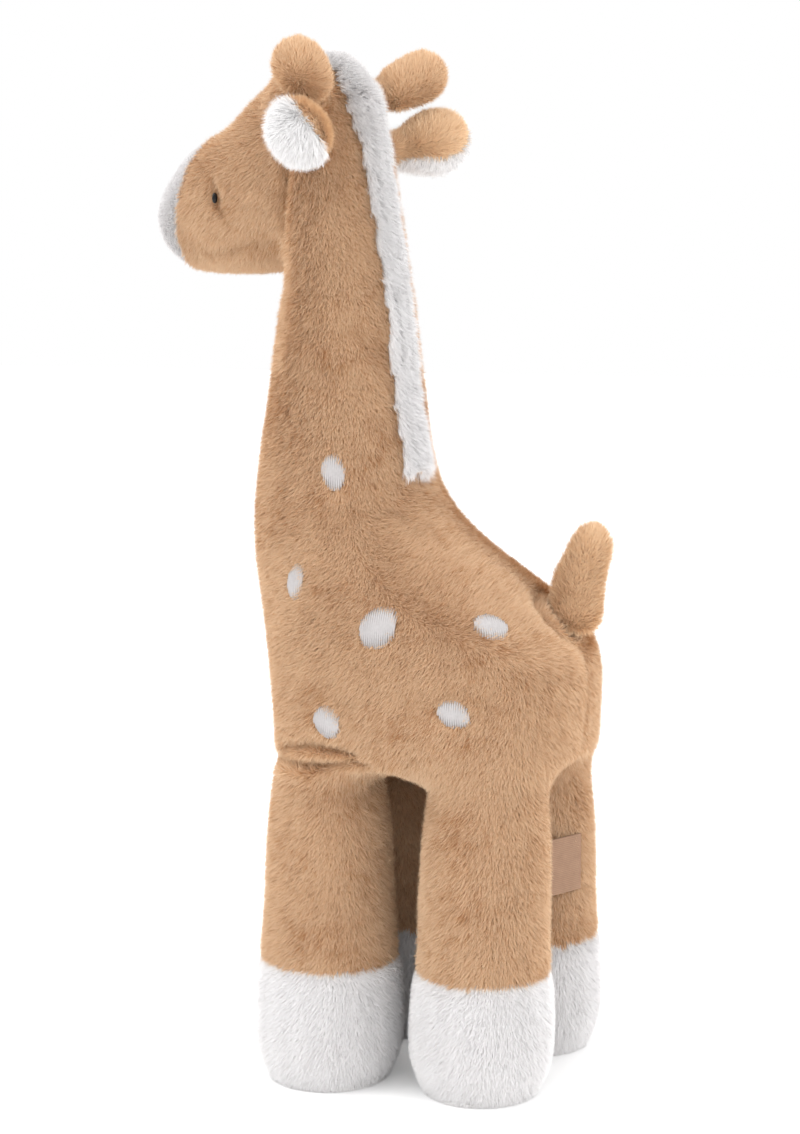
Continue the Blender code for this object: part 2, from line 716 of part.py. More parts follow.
def make_head(ground, ears):
    """The head's covers and filling, with ears, horns and eyes."""
    frame = head_frame()
    clear_ground = head_form("head_clear_ground", -GAP, helpers)
    cavity = head_form("head_cavity", WALL, helpers, smooth=False)
    below = beyond("cut_below_head", 2, -1, NECK_SEAM_Z + GAP / 2)
    dimples = [ball(f"ear_dimple_{side}", EAR_ROOT_RADIUS, ears[side]) for side in SIDES]
    eye_pockets = make_eyes(ground)

    in_front = beyond("cut_in_front", 1, -1, -FACE_SEAM_FORWARD + GAP / 2, frame)
    behind = beyond("cut_behind", 1, 1, -FACE_SEAM_FORWARD - GAP / 2, frame)
    muzzle_seam = frame @ Matrix.Translation((0.0, -MUZZLE_SEAM_FORWARD, MUZZLE_SEAM_HEIGHT))
    muzzle_seam = muzzle_seam @ Matrix.Rotation(-MUZZLE_SEAM_TILT, 4, "X")
    past_muzzle_seam = beyond("cut_past_muzzle_seam", 1, -1, GAP / 2, muzzle_seam)
    before_muzzle_seam = beyond("cut_before_muzzle_seam", 1, 1, -GAP / 2, muzzle_seam)

    for side, sign in SIDES.items():
        crown = head_form(f"crown_cover_{side}", 0.0, parts, material("tan_plush", TAN))
        combine(crown, below)
        combine(crown, cavity)
        combine(crown, in_front)
        combine(crown, beyond(f"cut_crown_past_{side}", 0, -sign, sign * GAP / 2, frame))
        for cutter in dimples:
            combine(crown, cutter)

    face = head_form("face_cover", 0.0, parts, material("tan_plush", TAN))
    combine(face, below)
    combine(face, cavity)
    combine(face, behind)
    combine(face, past_muzzle_seam)
    for cutter in dimples + eye_pockets:
        combine(face, cutter)

    muzzle = head_form("muzzle_cover", 0.0, parts, material("white_plush", WHITE))
    combine(muzzle, before_muzzle_seam)
    combine(muzzle, cavity)

    filling = head_form("head_filling", WALL + GAP, parts, material("filling", FILLING), smooth=False)
    combine(filling, below)
    seat_place = Matrix.Translation((0.0, NECK_AXIS_Y, NECK_SEAM_Z))
    seat = cylinder(
        "neck_seat", PLUG_RADIUS + GAP, -PLUG_HEIGHT, PLUG_HEIGHT + GAP, PLUG_SIDES, seat_place, helpers
    )
    combine(filling, seat)
    for cutter in dimples:
        combine(filling, cutter)

    for side in SIDES:
        make_ear(side, ears[side])
        make_horn(side, clear_ground)


# Mane


def mane_band(name, low_z, high_z, ground):
    """A band down the back of the neck, as the head is turned, laid on the form that it grows from."""
    frame = head_frame()
    backwards = frame.to_3x3() @ Vector((0.0, 1.0, 0.0))
    across = frame.to_3x3() @ Vector((1.0, 0.0, 0.0))
    axis = Vector((0.0, NECK_AXIS_Y, 0.0))
    bm = bmesh.new()
    rings = []
    for height in np.linspace(low_z, high_z, MANE_STEPS):
        level = Vector((0.0, 0.0, float(height)))
        place, _ = surface_hit(ground, axis + CUT_REACH * backwards + level, -backwards)
        corners = (
            place - MANE_ROOT * backwards - MANE_WIDTH / 2 * across,
            place - MANE_ROOT * backwards + MANE_WIDTH / 2 * across,
            place + MANE_HEIGHT * MANE_EDGE_SHARE * backwards + MANE_WIDTH / 2 * across,
            place + MANE_HEIGHT * backwards,
            place + MANE_HEIGHT * MANE_EDGE_SHARE * backwards - MANE_WIDTH / 2 * across,
        )
        rings.append([bm.verts.new(corner) for corner in corners])
    for low, high in zip(rings, rings[1:]):
        for i in range(len(low)):
            j = (i + 1) % len(low)
            bm.faces.new((low[i], low[j], high[j], high[i]))
    bm.faces.new(rings[0])
    bm.faces.new(rings[-1])
    band = make_object(name, bm, Matrix(), parts, material("white_plush", WHITE))
    combine(band, ground)


def make_mane():
    neck_ground = body_form("mane_neck_ground", -GAP, helpers)
    mane_band("mane_neck", MANE_BOTTOM_Z, NECK_SEAM_Z - GAP / 2, neck_ground)
    crown_ground = head_form("mane_crown_ground", -GAP, helpers)
    mane_band("mane_crown", NECK_SEAM_Z + GAP / 2, NECK_SEAM_Z + MANE_TOP_SHARE * HEAD_HEIGHT, crown_ground)


def make_sockets(tail):
    """The hollows in the body for the four hip balls and the tail's root, which smoothing draws in."""
    sockets = {side: [] for side in SIDES}
    for end in HIP_Y:
        for side in SIDES:
            place = Matrix.Translation(hip_place(end, side))
            sockets[side].append(ball(f"hip_socket_{end}_{side}", HIP_RADIUS, place))
    sockets["tail"] = ball("tail_dimple", TAIL_ROOT_RADIUS, tail)
    return sockets


def print_frames(tail, ears):
    """The joints' places and axes in the world."""
    for side, frame in ears.items():
        print(f"ear_{side} pivot", tuple(frame.translation), "axis", tuple(frame.col[0][:3]))
    print("tail pivot", tuple(tail.translation))
    for end in HIP_Y:
        for side in SIDES:
            print(f"leg_{end}_{side} pivot", tuple(hip_place(end, side)))


def main():
    body_ground = body_form("body_ground", 0.0, helpers)
    head_ground = head_form("head_ground", 0.0, helpers)
    tail = tail_frame(body_ground)
    ears = {side: ear_frame(side, head_ground) for side in SIDES}
    make_body(make_sockets(tail), make_spots(body_ground))
    make_legs()
    make_tail(tail)
    make_head(head_ground, ears)
    make_mane()
    print_frames(tail, ears)


clear_scene()
parts = make_collection("plush_giraffe")
helpers = make_collection("cutters")
main()
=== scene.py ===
"""A plush giraffe in short combed pile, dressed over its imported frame."""

import logging
import math
from dataclasses import dataclass
from enum import Enum
from typing import Any, Sequence

import bmesh
import bpy
import numpy as np
from mathutils import Matrix, Vector
from mathutils.bvhtree import BVHTree
from mathutils.kdtree import KDTree


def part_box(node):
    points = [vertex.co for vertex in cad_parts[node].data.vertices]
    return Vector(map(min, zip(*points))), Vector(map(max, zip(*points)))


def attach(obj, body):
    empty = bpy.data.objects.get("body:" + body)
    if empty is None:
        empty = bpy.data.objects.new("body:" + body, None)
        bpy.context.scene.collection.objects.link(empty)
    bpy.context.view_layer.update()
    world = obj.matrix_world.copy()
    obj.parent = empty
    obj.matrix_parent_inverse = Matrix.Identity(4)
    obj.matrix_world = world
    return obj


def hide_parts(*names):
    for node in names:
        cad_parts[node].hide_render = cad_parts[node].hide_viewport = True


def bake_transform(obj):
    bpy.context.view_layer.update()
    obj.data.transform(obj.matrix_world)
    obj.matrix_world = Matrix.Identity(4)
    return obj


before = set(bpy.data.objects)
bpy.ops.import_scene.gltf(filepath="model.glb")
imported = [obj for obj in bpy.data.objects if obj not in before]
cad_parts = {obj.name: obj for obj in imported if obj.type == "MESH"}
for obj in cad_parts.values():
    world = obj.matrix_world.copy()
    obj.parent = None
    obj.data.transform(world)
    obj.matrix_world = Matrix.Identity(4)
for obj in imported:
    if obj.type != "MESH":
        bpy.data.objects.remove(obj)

LOG = logging.getLogger("plush_giraffe")
NODES: dict[str, bpy.types.Object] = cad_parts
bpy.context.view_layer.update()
UP = Vector((0.0, 0.0, 1.0))
MM = 0.001
RGBA = tuple[float, float, float, float]
Ramp = tuple[float, float]
SIDES = ("left", "right")
LEGS = ("front_left", "front_right", "rear_left", "rear_right")
CROWN = ("crown_cover_left", "crown_cover_right")
MANE = ("mane_neck", "mane_crown")

# Where the cloth bends with the joints of the frame
NECK_SEAM = Vector((0.0, -0.0091, 0.299))
HEAD_TURN = math.radians(-18.0)
LEG_SPLIT_Z = 0.1185
CUFF_Z = 0.046
MID_Y = 0.0274
HEAD_Z = 0.22


def rgb(red: float, green: float, blue: float) -> RGBA:
    """Turns a colour as a picture holds it, 0 to 255, into the linear one that shaders take.

    Args:
        red: red part.
        green: green part.
        blue: blue part.

    Returns:
        The linear colour with full alpha.
    """
    shares = np.array([red, green, blue]) / 255.0
    linear = np.where(shares <= 0.04045, shares / 12.92, ((shares + 0.055) / 1.055) ** 2.4)
    return (float(linear[0]), float(linear[1]), float(linear[2]), 1.0)


WHITE = (1.0, 1.0, 1.0, 1.0)


class Value:
    """A node's output that takes part in arithmetic, so that masks read as formulas."""

    def __init__(self, graph: "Graph", socket: bpy.types.NodeSocket) -> None:
        """Wraps one socket of a graph."""
        self.graph = graph
        self.socket = socket

    def _math(self, operation: str, first: Any, second: Any) -> "Value":
        """Adds one Math node."""
        return self.graph.node("ShaderNodeMath", {"operation": operation}, {0: first, 1: second})

    def __add__(self, other: Any) -> "Value":
        """Sum."""
        return self._math("ADD", self, other)

    __radd__ = __add__

    def __sub__(self, other: Any) -> "Value":
        """Difference."""
        return self._math("SUBTRACT", self, other)

    def __rsub__(self, other: Any) -> "Value":
        """Difference from another value."""
        return self._math("SUBTRACT", other, self)

    def __mul__(self, other: Any) -> "Value":
        """Product."""
        return self._math("MULTIPLY", self, other)

    __rmul__ = __mul__

    def __truediv__(self, other: Any) -> "Value":
        """Quotient."""
        return self._math("DIVIDE", self, other)

    def __rtruediv__(self, other: Any) -> "Value":
        """Quotient with the value below."""
        return self._math("DIVIDE", other, self)

    def clamped(self) -> "Value":
        """The value held between 0 and 1."""
        return self.graph.node("ShaderNodeClamp", {}, {0: self, 1: 0.0, 2: 1.0})


class Graph:
    """Adds nodes to one node tree."""

    def __init__(self, tree: bpy.types.NodeTree) -> None:
        """Takes the tree to fill."""
        self.tree = tree

    def node(self, kind: str, settings: dict[str, Any], values: dict[Any, Any], output: Any = 0) -> Value:
        """Adds a node.

        Args:
            kind: the node's type.
            settings: properties set before its sockets.
            values: constants or Values for its inputs, by index or name.
            output: which output to hand back.

        Returns:
            That output.
        """
        made = self.tree.nodes.new(kind)
        for key, value in settings.items():
            setattr(made, key, value)
        for key, value in values.items():
            if isinstance(value, Value):
                self.tree.links.new(value.socket, made.inputs[key])
            else:
                made.inputs[key].default_value = value
        return Value(self, made.outputs[output])

    def vector(self, operation: str, first: Any, second: Any = None) -> Value:
        """Adds one Vector Math node.

        Args:
            operation: its operation.
            first: first vector.
            second: second vector, or the factor of SCALE.

        Returns:
            The vector it gives.
        """
        values = {0: first}
        if operation == "SCALE":
            values["Scale"] = second
        elif second is not None:
            values[1] = second
        return self.node("ShaderNodeVectorMath", {"operation": operation}, values)

    def noise(self, place: Value, size: Any, detail: float, roughness: float, output: str = "Fac") -> Value:
        """Adds noise whose features have about the given size.

        Args:
            place: where it is read.
            size: size of a feature in metres.
            detail: octaves.
            roughness: weight of the finer octaves.
            output: Fac or Color.

        Returns:
            The noise.
        """
        values = {"Vector": place, "Scale": 1.0 / size, "Detail": detail, "Roughness": roughness}
        return self.node("ShaderNodeTexNoise", {}, values, output)


class Shader(Graph):
    """Builds one material."""

    def __init__(self, name: str) -> None:
        """Starts an empty material of that name."""
        self.material = bpy.data.materials.new(name)
        self.material.use_nodes = True
        super().__init__(self.material.node_tree)
        self.tree.nodes.clear()

    def attribute(self, name: str, output: str = "Fac") -> Value:
        """Reads a named attribute of the mesh."""
        return self.node("ShaderNodeAttribute", {"attribute_name": name}, {}, output)

    def mix(self, share: Any, low: Any, high: Any, blend: str = "MIX") -> Value:
        """Mixes two colours."""
        settings = {"data_type": "RGBA", "blend_type": blend}
        return self.node("ShaderNodeMix", settings, {0: share, 6: low, 7: high}, 2)

    def place(self) -> Value:
        """Reads the place on the object itself."""
        return self.node("ShaderNodeTexCoord", {}, {}, "Object")

    def relief(self, height: Value, strength: float, depth: float) -> Value:
        """Turns a height into a small bump."""
        values = {"Strength": strength, "Distance": depth, "Height": height}
        return self.node("ShaderNodeBump", {}, values)

    def surface(self, values: dict[str, Any]) -> bpy.types.Material:
        """Ends the material with a Principled surface.

        Args:
            values: constants or Values for its inputs.

        Returns:
            The material.
        """
        shader = self.node("ShaderNodeBsdfPrincipled", {}, values)
        out = self.tree.nodes.new("ShaderNodeOutputMaterial")
        self.tree.links.new(shader.socket, out.inputs["Surface"])
        return self.material


@dataclass(frozen=True)
class PlushFinish:
    """Pile that is darker at its root and paler at its tip, and uneven from place to place."""

    name: str
    root: RGBA
    middle: RGBA
    tip: RGBA
    patch: RGBA
    # Colour towards which painted light turns the pile
    pale: RGBA
    patch_size: float = 0.022
    patch_weight: float = 0.95
    patch_start: float = 0.55
    patch_contrast: float = 5.0
    fine_size: float = 0.2
    fine_share: float = 0.4
    tone_share: float = 0.14
    root_rise: float = 2.2
    tip_rise: float = 1.6
    sheen: float = 0.9

    def build(self) -> bpy.types.Material:
        """Makes the material.

        Returns:
            A matt material that reads the pile's attributes. A shade above 0 paints shade, towards the root
            colour; a shade below 0 paints light, towards the pale colour.
        """
        shader = Shader(self.name)
        along = shader.attribute("along")
        tone = shader.attribute("tone")
        shade = shader.attribute("shade")
        place = shader.attribute("rest", "Vector")
        lower = shader.mix((along * self.root_rise).clamped(), self.root, self.middle)
        high = (along * self.tip_rise - (self.tip_rise - 1.0)).clamped()
        pile = shader.mix(high, lower, self.tip)
        broad = shader.noise(place, self.patch_size, 3.0, 0.6)
        fine = shader.noise(place, self.patch_size * self.fine_size, 2.0, 0.6)
        uneven = broad * (1.0 - self.fine_share) + fine * self.fine_share + tone * self.tone_share
        mask = ((uneven - self.patch_start) * self.patch_contrast).clamped()
        coat = shader.mix(mask * self.patch_weight, pile, self.patch, "MULTIPLY")
        # Painted shade where the shade is above 0, then painted light where it is below 0
        painted_shade_coat = shader.mix(shade.clamped(), coat, self.root)
        colour = shader.mix((shade * -1.0).clamped(), painted_shade_coat, self.pale)
        return shader.surface(
            {
                "Base Color": colour,
                "Roughness": 0.95,
                "Specular IOR Level": 0.12,
                "Sheen Weight": self.sheen,
                "Sheen Roughness": 0.4,
                "Sheen Tint": self.tip,
            }
        )


@dataclass(frozen=True)
class ClothFinish:
    """The woven backing that the pile stands on."""

    name: str
    colour: RGBA
    pitch: float = 0.0011

    def build(self) -> bpy.types.Material:
        """Makes the material.

        Returns:
            A matt knitted cloth.
        """
        shader = Shader(self.name)
        place = shader.place()
        loops = shader.noise(place, self.pitch, 2.0, 0.5)
        dark = tuple(part * 0.85 for part in self.colour[:3]) + (1.0,)
        colour = shader.mix(loops, dark, self.colour)
        relief = shader.relief(loops, 0.4, 0.0003)
        return shader.surface({"Base Color": colour, "Roughness": 0.95, "Normal": relief})


def read_points(mesh: bpy.types.Mesh) -> np.ndarray:
    """A mesh's points as rows."""
    flat = np.empty(3 * len(mesh.vertices))
    mesh.vertices.foreach_get("co", flat)
    return flat.reshape(-1, 3)


def write_points(mesh: bpy.types.Mesh, points: np.ndarray) -> None:
    """Moves a mesh's points."""
    mesh.vertices.foreach_set("co", points.astype(np.float32).ravel())
    mesh.update()


def read_normals(mesh: bpy.types.Mesh) -> np.ndarray:
    """A mesh's point normals as rows."""
    flat = np.empty(3 * len(mesh.vertices))
    mesh.vertex_normals.foreach_get("vector", flat)
    return flat.reshape(-1, 3)


def write_attribute(mesh: bpy.types.Mesh, name: str, values: np.ndarray) -> None:
    """Stores a number or a vector for each point.

    Args:
        mesh: mesh to write on.
        name: the attribute's name.
        values: one row for each point.
    """
    kind, field = ("FLOAT_VECTOR", "vector") if values.ndim == 2 else ("FLOAT", "value")
    made = mesh.attributes.get(name) or mesh.attributes.new(name, kind, "POINT")
    made.data.foreach_set(field, values.astype(np.float32).ravel())


def swell(mesh: bpy.types.Mesh, amount: np.ndarray | float) -> None:
    """Moves a mesh's points out along their normals, or in where the amount is below 0."""
    write_points(mesh, read_points(mesh) + np.reshape(amount, (-1, 1)) * read_normals(mesh))


def place_in_scene(name: str, data: bpy.types.ID) -> bpy.types.Object:
    """Makes an object at the origin for a mesh, a lamp or a camera."""
    made = bpy.data.objects.new(name, data)
    bpy.context.scene.collection.objects.link(made)
    return made


def discard(*objects: bpy.types.Object) -> None:
    """Removes helper objects with their meshes."""
    for obj in objects:
        mesh = obj.data
        bpy.data.objects.remove(obj)
        bpy.data.meshes.remove(mesh)


def evaluated_mesh(obj: bpy.types.Object) -> bpy.types.Mesh:
    """A plain mesh of an object with its modifiers applied."""
    graph = bpy.context.evaluated_depsgraph_get()
    return bpy.data.meshes.new_from_object(obj.evaluated_get(graph))


def apply_modifiers(obj: bpy.types.Object) -> None:
    """Gives an object the plain mesh that its modifiers make."""
    mesh = evaluated_mesh(obj)
    obj.modifiers.clear()
    old, obj.data = obj.data, mesh
    bpy.data.meshes.remove(old)


def voxel_mesh(name: str, rough: bpy.types.Mesh, size: float) -> bpy.types.Mesh:
    """Draws one skin round a mesh.

    Args:
        name: name of the helper object.
        rough: mesh, which is used up.
        size: side of the voxels.

    Returns:
        The skin's mesh.
    """
    helper = place_in_scene(name, rough)
    remesh = helper.modifiers.new("Remesh", "REMESH")
    remesh.mode = "VOXEL"
    remesh.voxel_size = size
    mesh = evaluated_mesh(helper)
    discard(helper)
    return mesh


def smoothstep(values: np.ndarray) -> np.ndarray:
    """Eases values between 0 and 1."""
    held = np.clip(values, 0.0, 1.0)
    return held * held * (3.0 - 2.0 * held)


def ramp(values: np.ndarray, change: Ramp) -> np.ndarray:
    """Eases from 0 to 1 from a ramp's start on, over its width, downwards where that is below 0."""
    return smoothstep((values - change[0]) / change[1])


def bell(values: np.ndarray, reach: float) -> np.ndarray:
    """Falls from 1 at 0 towards 0 past the reach."""
    return np.exp(-((values / reach) ** 2))


def smooth(mesh: bpy.types.Mesh, shares: Sequence[float], weight: np.ndarray | float = 1.0) -> None:
    """Moves each point towards the middle of its neighbours, round by round.

    Args:
        mesh: mesh to change.
        shares: how far it moves in each round, and away where that is below 0.
        weight: how far each point gives way, 0 to 1.
    """
    count = len(mesh.vertices)
    ends = np.empty(2 * len(mesh.edges), np.int32)
    mesh.edges.foreach_get("vertices", ends)
    first, second = ends.reshape(-1, 2).T
    degree = np.bincount(ends, minlength=count)[:, None]
    points = read_points(mesh)
    for share in shares:
        sums = [
            np.bincount(first, points[second, axis], count)
            + np.bincount(second, points[first, axis], count)
            for axis in range(3)
        ]
        points += share * weight * (np.stack(sums, axis=1) / degree - points)
    write_points(mesh, points)


def relax(mesh: bpy.types.Mesh, rounds: int) -> None:
    """Evens a mesh out without shrinking it."""
    smooth(mesh, (0.5, -0.51) * rounds)


def ease(mesh: bpy.types.Mesh, weight: np.ndarray, rounds: int) -> None:
    """Rounds part of a mesh off, filling its hollows and lowering its edges."""
    smooth(mesh, (0.5,) * rounds, weight[:, None])


def largest_shell(mesh: bpy.types.Mesh) -> None:
    """Keeps only the connected shell with the most faces.

    Args:
        mesh: mesh to change.
    """
    work = bmesh.new()
    work.from_mesh(mesh)
    work.verts.ensure_lookup_table()
    label = np.full(len(work.verts), -1)
    shells = 0
    for seed in work.verts:
        if label[seed.index] >= 0:
            continue
        label[seed.index] = shells
        front = [seed]
        while front:
            here = front.pop()
            for edge in here.link_edges:
                there = edge.other_vert(here)
                if label[there.index] < 0:
                    label[there.index] = shells
                    front.append(there)
        shells += 1
    keep = int(np.bincount(label).argmax())
    bmesh.ops.delete(work, geom=[v for v in work.verts if label[v.index] != keep], context="VERTS")
    work.to_mesh(mesh)
    work.free()


def nearest_tree(names: Sequence[str]) -> BVHTree:
    """A search tree over the faces of some CAD nodes."""
    corners: list[Vector] = []
    faces: list[tuple[int, ...]] = []
    for name in names:
        mesh = NODES[name].data
        start = len(corners)
        corners += [vertex.co.copy() for vertex in mesh.vertices]
        faces += [tuple(start + index for index in face.vertices) for face in mesh.polygons]
    return BVHTree.FromPolygons(corners, faces)


def distances(points: np.ndarray, names: Sequence[str], limit: float = 0.03) -> np.ndarray:
    """How far points are from the nearest of some CAD nodes.

    Args:
        points: rows of points.
        names: CAD nodes.
        limit: distance past which they count as far.

    Returns:
        One distance for each point, no larger than the limit.
    """
    tree = nearest_tree(names)
    found = (tree.find_nearest(Vector(point), limit)[3] for point in points)
    return np.array([limit if one is None else one for one in found])


class Mirror(Enum):
    """What a crease is mirrored across."""

    NOTHING = 0
    BODY = 1
    HEAD = 2


@dataclass(frozen=True)
class Crease:
    """A seam or fold that the pile sinks into, as a line in millimetres, with the painted shade that darkens
    the pile along it.
    """

    line: Sequence[tuple[float, float, float]]
    width: float
    depth: float
    # How much painted shade darkens the pile along the crease, 0 to 1
    shade: float = 0.5
    mirror: Mirror = Mirror.NOTHING

    def lines(self) -> list[np.ndarray]:
        """The line in metres, and its mirror image if it has one."""
        made = [np.array(self.line) * MM]
        if self.mirror is Mirror.BODY:
            made.append(made[0] * (-1.0, 1.0, 1.0))
        if self.mirror is Mirror.HEAD:
            turn = np.array(Matrix.Rotation(HEAD_TURN, 3, "Z"))
            pivot = np.array(NECK_SEAM)
            straight = (made[0] - pivot) @ turn * (-1.0, 1.0, 1.0)
            made.append(straight @ turn.T + pivot)
        return made

    def share(self, points: np.ndarray) -> np.ndarray:
        """How much of the crease's depth each point takes.

        Args:
            points: rows of points.

        Returns:
            Shares from 0 to 1.
        """
        least = np.full(len(points), np.inf)
        for line in self.lines():
            for start, end in zip(line, line[1:]):
                run = end - start
                along = np.clip((points - start) @ run / (run @ run), 0.0, 1.0)
                gap = np.linalg.norm(points - start - along[:, None] * run, axis=1)
                least = np.minimum(least, gap)
        return bell(least, self.width)


@dataclass
class Skin:
    """A closed skin over some CAD nodes, drawn in to leave room for the pile."""

    names: Sequence[str]
    voxel: float = 0.0021
    room: float = 0.0034
    rounds: int = 14
    steps: int = 3

    def build(self) -> bpy.types.Object:
        """Makes the skin.

        Returns:
            A helper object with one closed shell.
        """
        work = bmesh.new()
        for name in self.names:
            single = bmesh.new()
            single.from_mesh(NODES[name].data)
            bmesh.ops.remove_doubles(single, verts=single.verts, dist=1e-6)
            welded = bpy.data.meshes.new("welded")
            single.to_mesh(welded)
            single.free()
            work.from_mesh(welded)
            bpy.data.meshes.remove(welded)
        joined = bpy.data.meshes.new("joined")
        work.to_mesh(joined)
        work.free()
        mesh = voxel_mesh("rough", joined, self.voxel)
        largest_shell(mesh)
        relax(mesh, self.rounds)
        for _ in range(self.steps):
            swell(mesh, -self.room / self.steps)
            relax(mesh, 2)
        return place_in_scene("skin", mesh)


@dataclass(frozen=True)
class Stuffing:
    """A short cloth simulation that swells a skin between the seams that hold it."""

    voxel: float = 0.0045
    pressure: float = 40.0
    frames: int = 20
    cap: float = 0.0020
    neighbours: int = 4
    quality: int = 6
    least_hold: float = 0.05

    def fill(self, skin: bpy.types.Object, held: np.ndarray) -> None:
        """Moves the points of a skin as its stuffing would.

        Args:
            skin: closed skin.
            held: how firmly each point is sewn down, 0 to 1.
        """
        mesh = voxel_mesh("coarse", skin.data.copy(), self.voxel)
        fine = self._tree(read_points(skin.data))
        start = read_points(mesh)
        sewn = np.array([held[fine.find(Vector(point))[1]] for point in start])
        moved = self._simulate(mesh, sewn)
        shift = moved - start
        size = np.linalg.norm(shift, axis=1)
        shift *= (np.minimum(size, self.cap) / np.maximum(size, 1e-9))[:, None]
        LOG.info("stuffing: %.2f mm on average", size.mean() / MM)
        tree = self._tree(start)
        points = read_points(skin.data)
        for index, point in enumerate(points.copy()):
            near = tree.find_n(Vector(point), self.neighbours)
            weight = np.array([1.0 / (one[2] + MM) for one in near])
            points[index] += weight @ shift[[one[1] for one in near]] / weight.sum()
        write_points(skin.data, points)
        relax(skin.data, 3)

    def _tree(self, points: np.ndarray) -> KDTree:
        """A search tree over points."""
        tree = KDTree(len(points))
        for index, point in enumerate(points):
            tree.insert(Vector(point), index)
        tree.balance()
        return tree

    def _simulate(self, mesh: bpy.types.Mesh, sewn: np.ndarray) -> np.ndarray:
        """Runs the cloth under pressure.

        Args:
            mesh: closed coarse mesh, which is used up.
            sewn: how firmly each point is held.

        Returns:
            Its points at the end.
        """
        scene = bpy.context.scene
        obj = place_in_scene("cloth", mesh)
        group = obj.vertex_groups.new(name="sewn")
        for index in np.flatnonzero(sewn > self.least_hold):
            group.add([int(index)], float(sewn[index]), "REPLACE")
        cloth = obj.modifiers.new("Cloth", "CLOTH")
        cloth.settings.quality = self.quality
        cloth.settings.use_pressure = True
        cloth.settings.uniform_pressure_force = self.pressure
        cloth.settings.vertex_group_mass = "sewn"
        cloth.settings.effector_weights.gravity = 0.0
        cloth.point_cache.frame_start = 1
        cloth.point_cache.frame_end = self.frames
        for frame_number in range(1, self.frames + 1):
            scene.frame_set(frame_number)
        result = evaluated_mesh(obj)
        points = read_points(result)
        discard(obj)
        bpy.data.meshes.remove(result)
        scene.frame_set(1)
        return points


@dataclass(frozen=True)
class Press:
    """A soft push on the stuffing, out or in, round a place in millimetres."""

    place: tuple[float, float, float]
    reach: float
    amount: float

    def push(self, mesh: bpy.types.Mesh) -> None:
        """Moves the points near the place along their normals."""
        gap = np.linalg.norm(read_points(mesh) - np.array(self.place) * MM, axis=1)
        swell(mesh, self.amount * bell(gap, self.reach))


def carve(skin: bpy.types.Object, creases: Sequence[Crease], outer: np.ndarray) -> None:
    """Sinks seams and folds into a skin and notes how much painted shade darkens the pile in each.

    Args:
        skin: skin to change.
        creases: seams and folds, drawn on the tips of the pile.
        outer: for each point of the skin, the place at those tips.
    """
    mesh = skin.data
    sink = np.zeros(len(outer))
    shade = np.zeros(len(outer))
    for crease in creases:
        share = crease.share(outer)
        sink = np.maximum(sink, crease.depth * share)
        shade = np.maximum(shade, crease.shade * share)
    swell(mesh, -sink)
    relax(mesh, 1)
    # Painted shade: darkens the pile towards its root colour in the seams and folds
    write_attribute(mesh, "shade", shade)


def faces_part(skin: bpy.types.Object, keep: np.ndarray, name: str) -> bpy.types.Object:
    """Copies some faces of a skin, with their attributes, into a new object.

    Args:
        skin: skin to copy.
        keep: one truth value for each face.
        name: name of the new object.

    Returns:
        The new object.
    """
    mesh = skin.data.copy()
    work = bmesh.new()
    work.from_mesh(mesh)
    gone = [face for face in work.faces if not keep[face.index]]
    bmesh.ops.delete(work, geom=gone, context="FACES")
    work.to_mesh(mesh)
    work.free()
    return place_in_scene(name, mesh)


def centres(mesh: bpy.types.Mesh) -> np.ndarray:
    """The middle of each face."""
    flat = np.empty(3 * len(mesh.polygons))
    mesh.polygons.foreach_get("center", flat)
    return flat.reshape(-1, 3)


def areas(mesh: bpy.types.Mesh) -> np.ndarray:
    """The area of each face."""
    flat = np.empty(len(mesh.polygons))
    mesh.polygons.foreach_get("area", flat)
    return flat


def on_faces(mesh: bpy.types.Mesh, values: np.ndarray) -> np.ndarray:
    """Averages point values over each face."""
    count = len(mesh.loops)
    corner = np.empty(count, np.int32)
    mesh.loops.foreach_get("vertex_index", corner)
    starts = np.empty(len(mesh.polygons), np.int32)
    mesh.polygons.foreach_get("loop_start", starts)
    return np.add.reduceat(values[corner], starts) / np.diff(np.append(starts, count))


@dataclass(frozen=True)
class Pile:
    """How one kind of pile grows: how long, how thick, how close, and how it lies."""

    length: float
    width: float
    per_square_mm: float
    lift: float = 0.62
    clump: float = 0.9
    tuft: float = 0.006
    stray: float = 0.45
    seed: int = 1


class GeometryTree(Graph):
    """A Geometry Nodes tree with named inputs beside its geometry."""

    def __init__(self, name: str, inputs: Sequence[tuple[str, str]]) -> None:
        """Starts the tree.

        Args:
            name: the tree's name.
            inputs: name and kind of each input.
        """
        super().__init__(bpy.data.node_groups.new(name, "GeometryNodeTree"))
        face = self.tree.interface
        face.new_socket("Geometry", in_out="INPUT", socket_type="NodeSocketGeometry")
        self.sockets = {
            key: face.new_socket(key, in_out="INPUT", socket_type="NodeSocket" + kind).identifier
            for key, kind in inputs
        }
        face.new_socket("Geometry", in_out="OUTPUT", socket_type="NodeSocketGeometry")
        source = self.tree.nodes.new("NodeGroupInput")
        self.given = {socket.name: Value(self, socket) for socket in source.outputs if socket.name}

    def end(self, geometry: Value) -> None:
        """Makes a geometry the tree's output, in the given finish."""
        values = {"Geometry": geometry, "Material": self.given["Finish"]}
        done = self.node("GeometryNodeSetMaterial", {}, values)
        out = self.tree.nodes.new("NodeGroupOutput")
        self.tree.links.new(done.socket, out.inputs[0])

    def turn_into(self, obj: bpy.types.Object, values: dict[str, Any]) -> None:
        """Runs the tree on an object and keeps only what it makes.

        Args:
            obj: object to change.
            values: one value for each input.
        """
        modifier = obj.modifiers.new(self.tree.name, "NODES")
        modifier.node_group = self.tree
        for key, value in values.items():
            modifier[self.sockets[key]] = value
        apply_modifiers(obj)


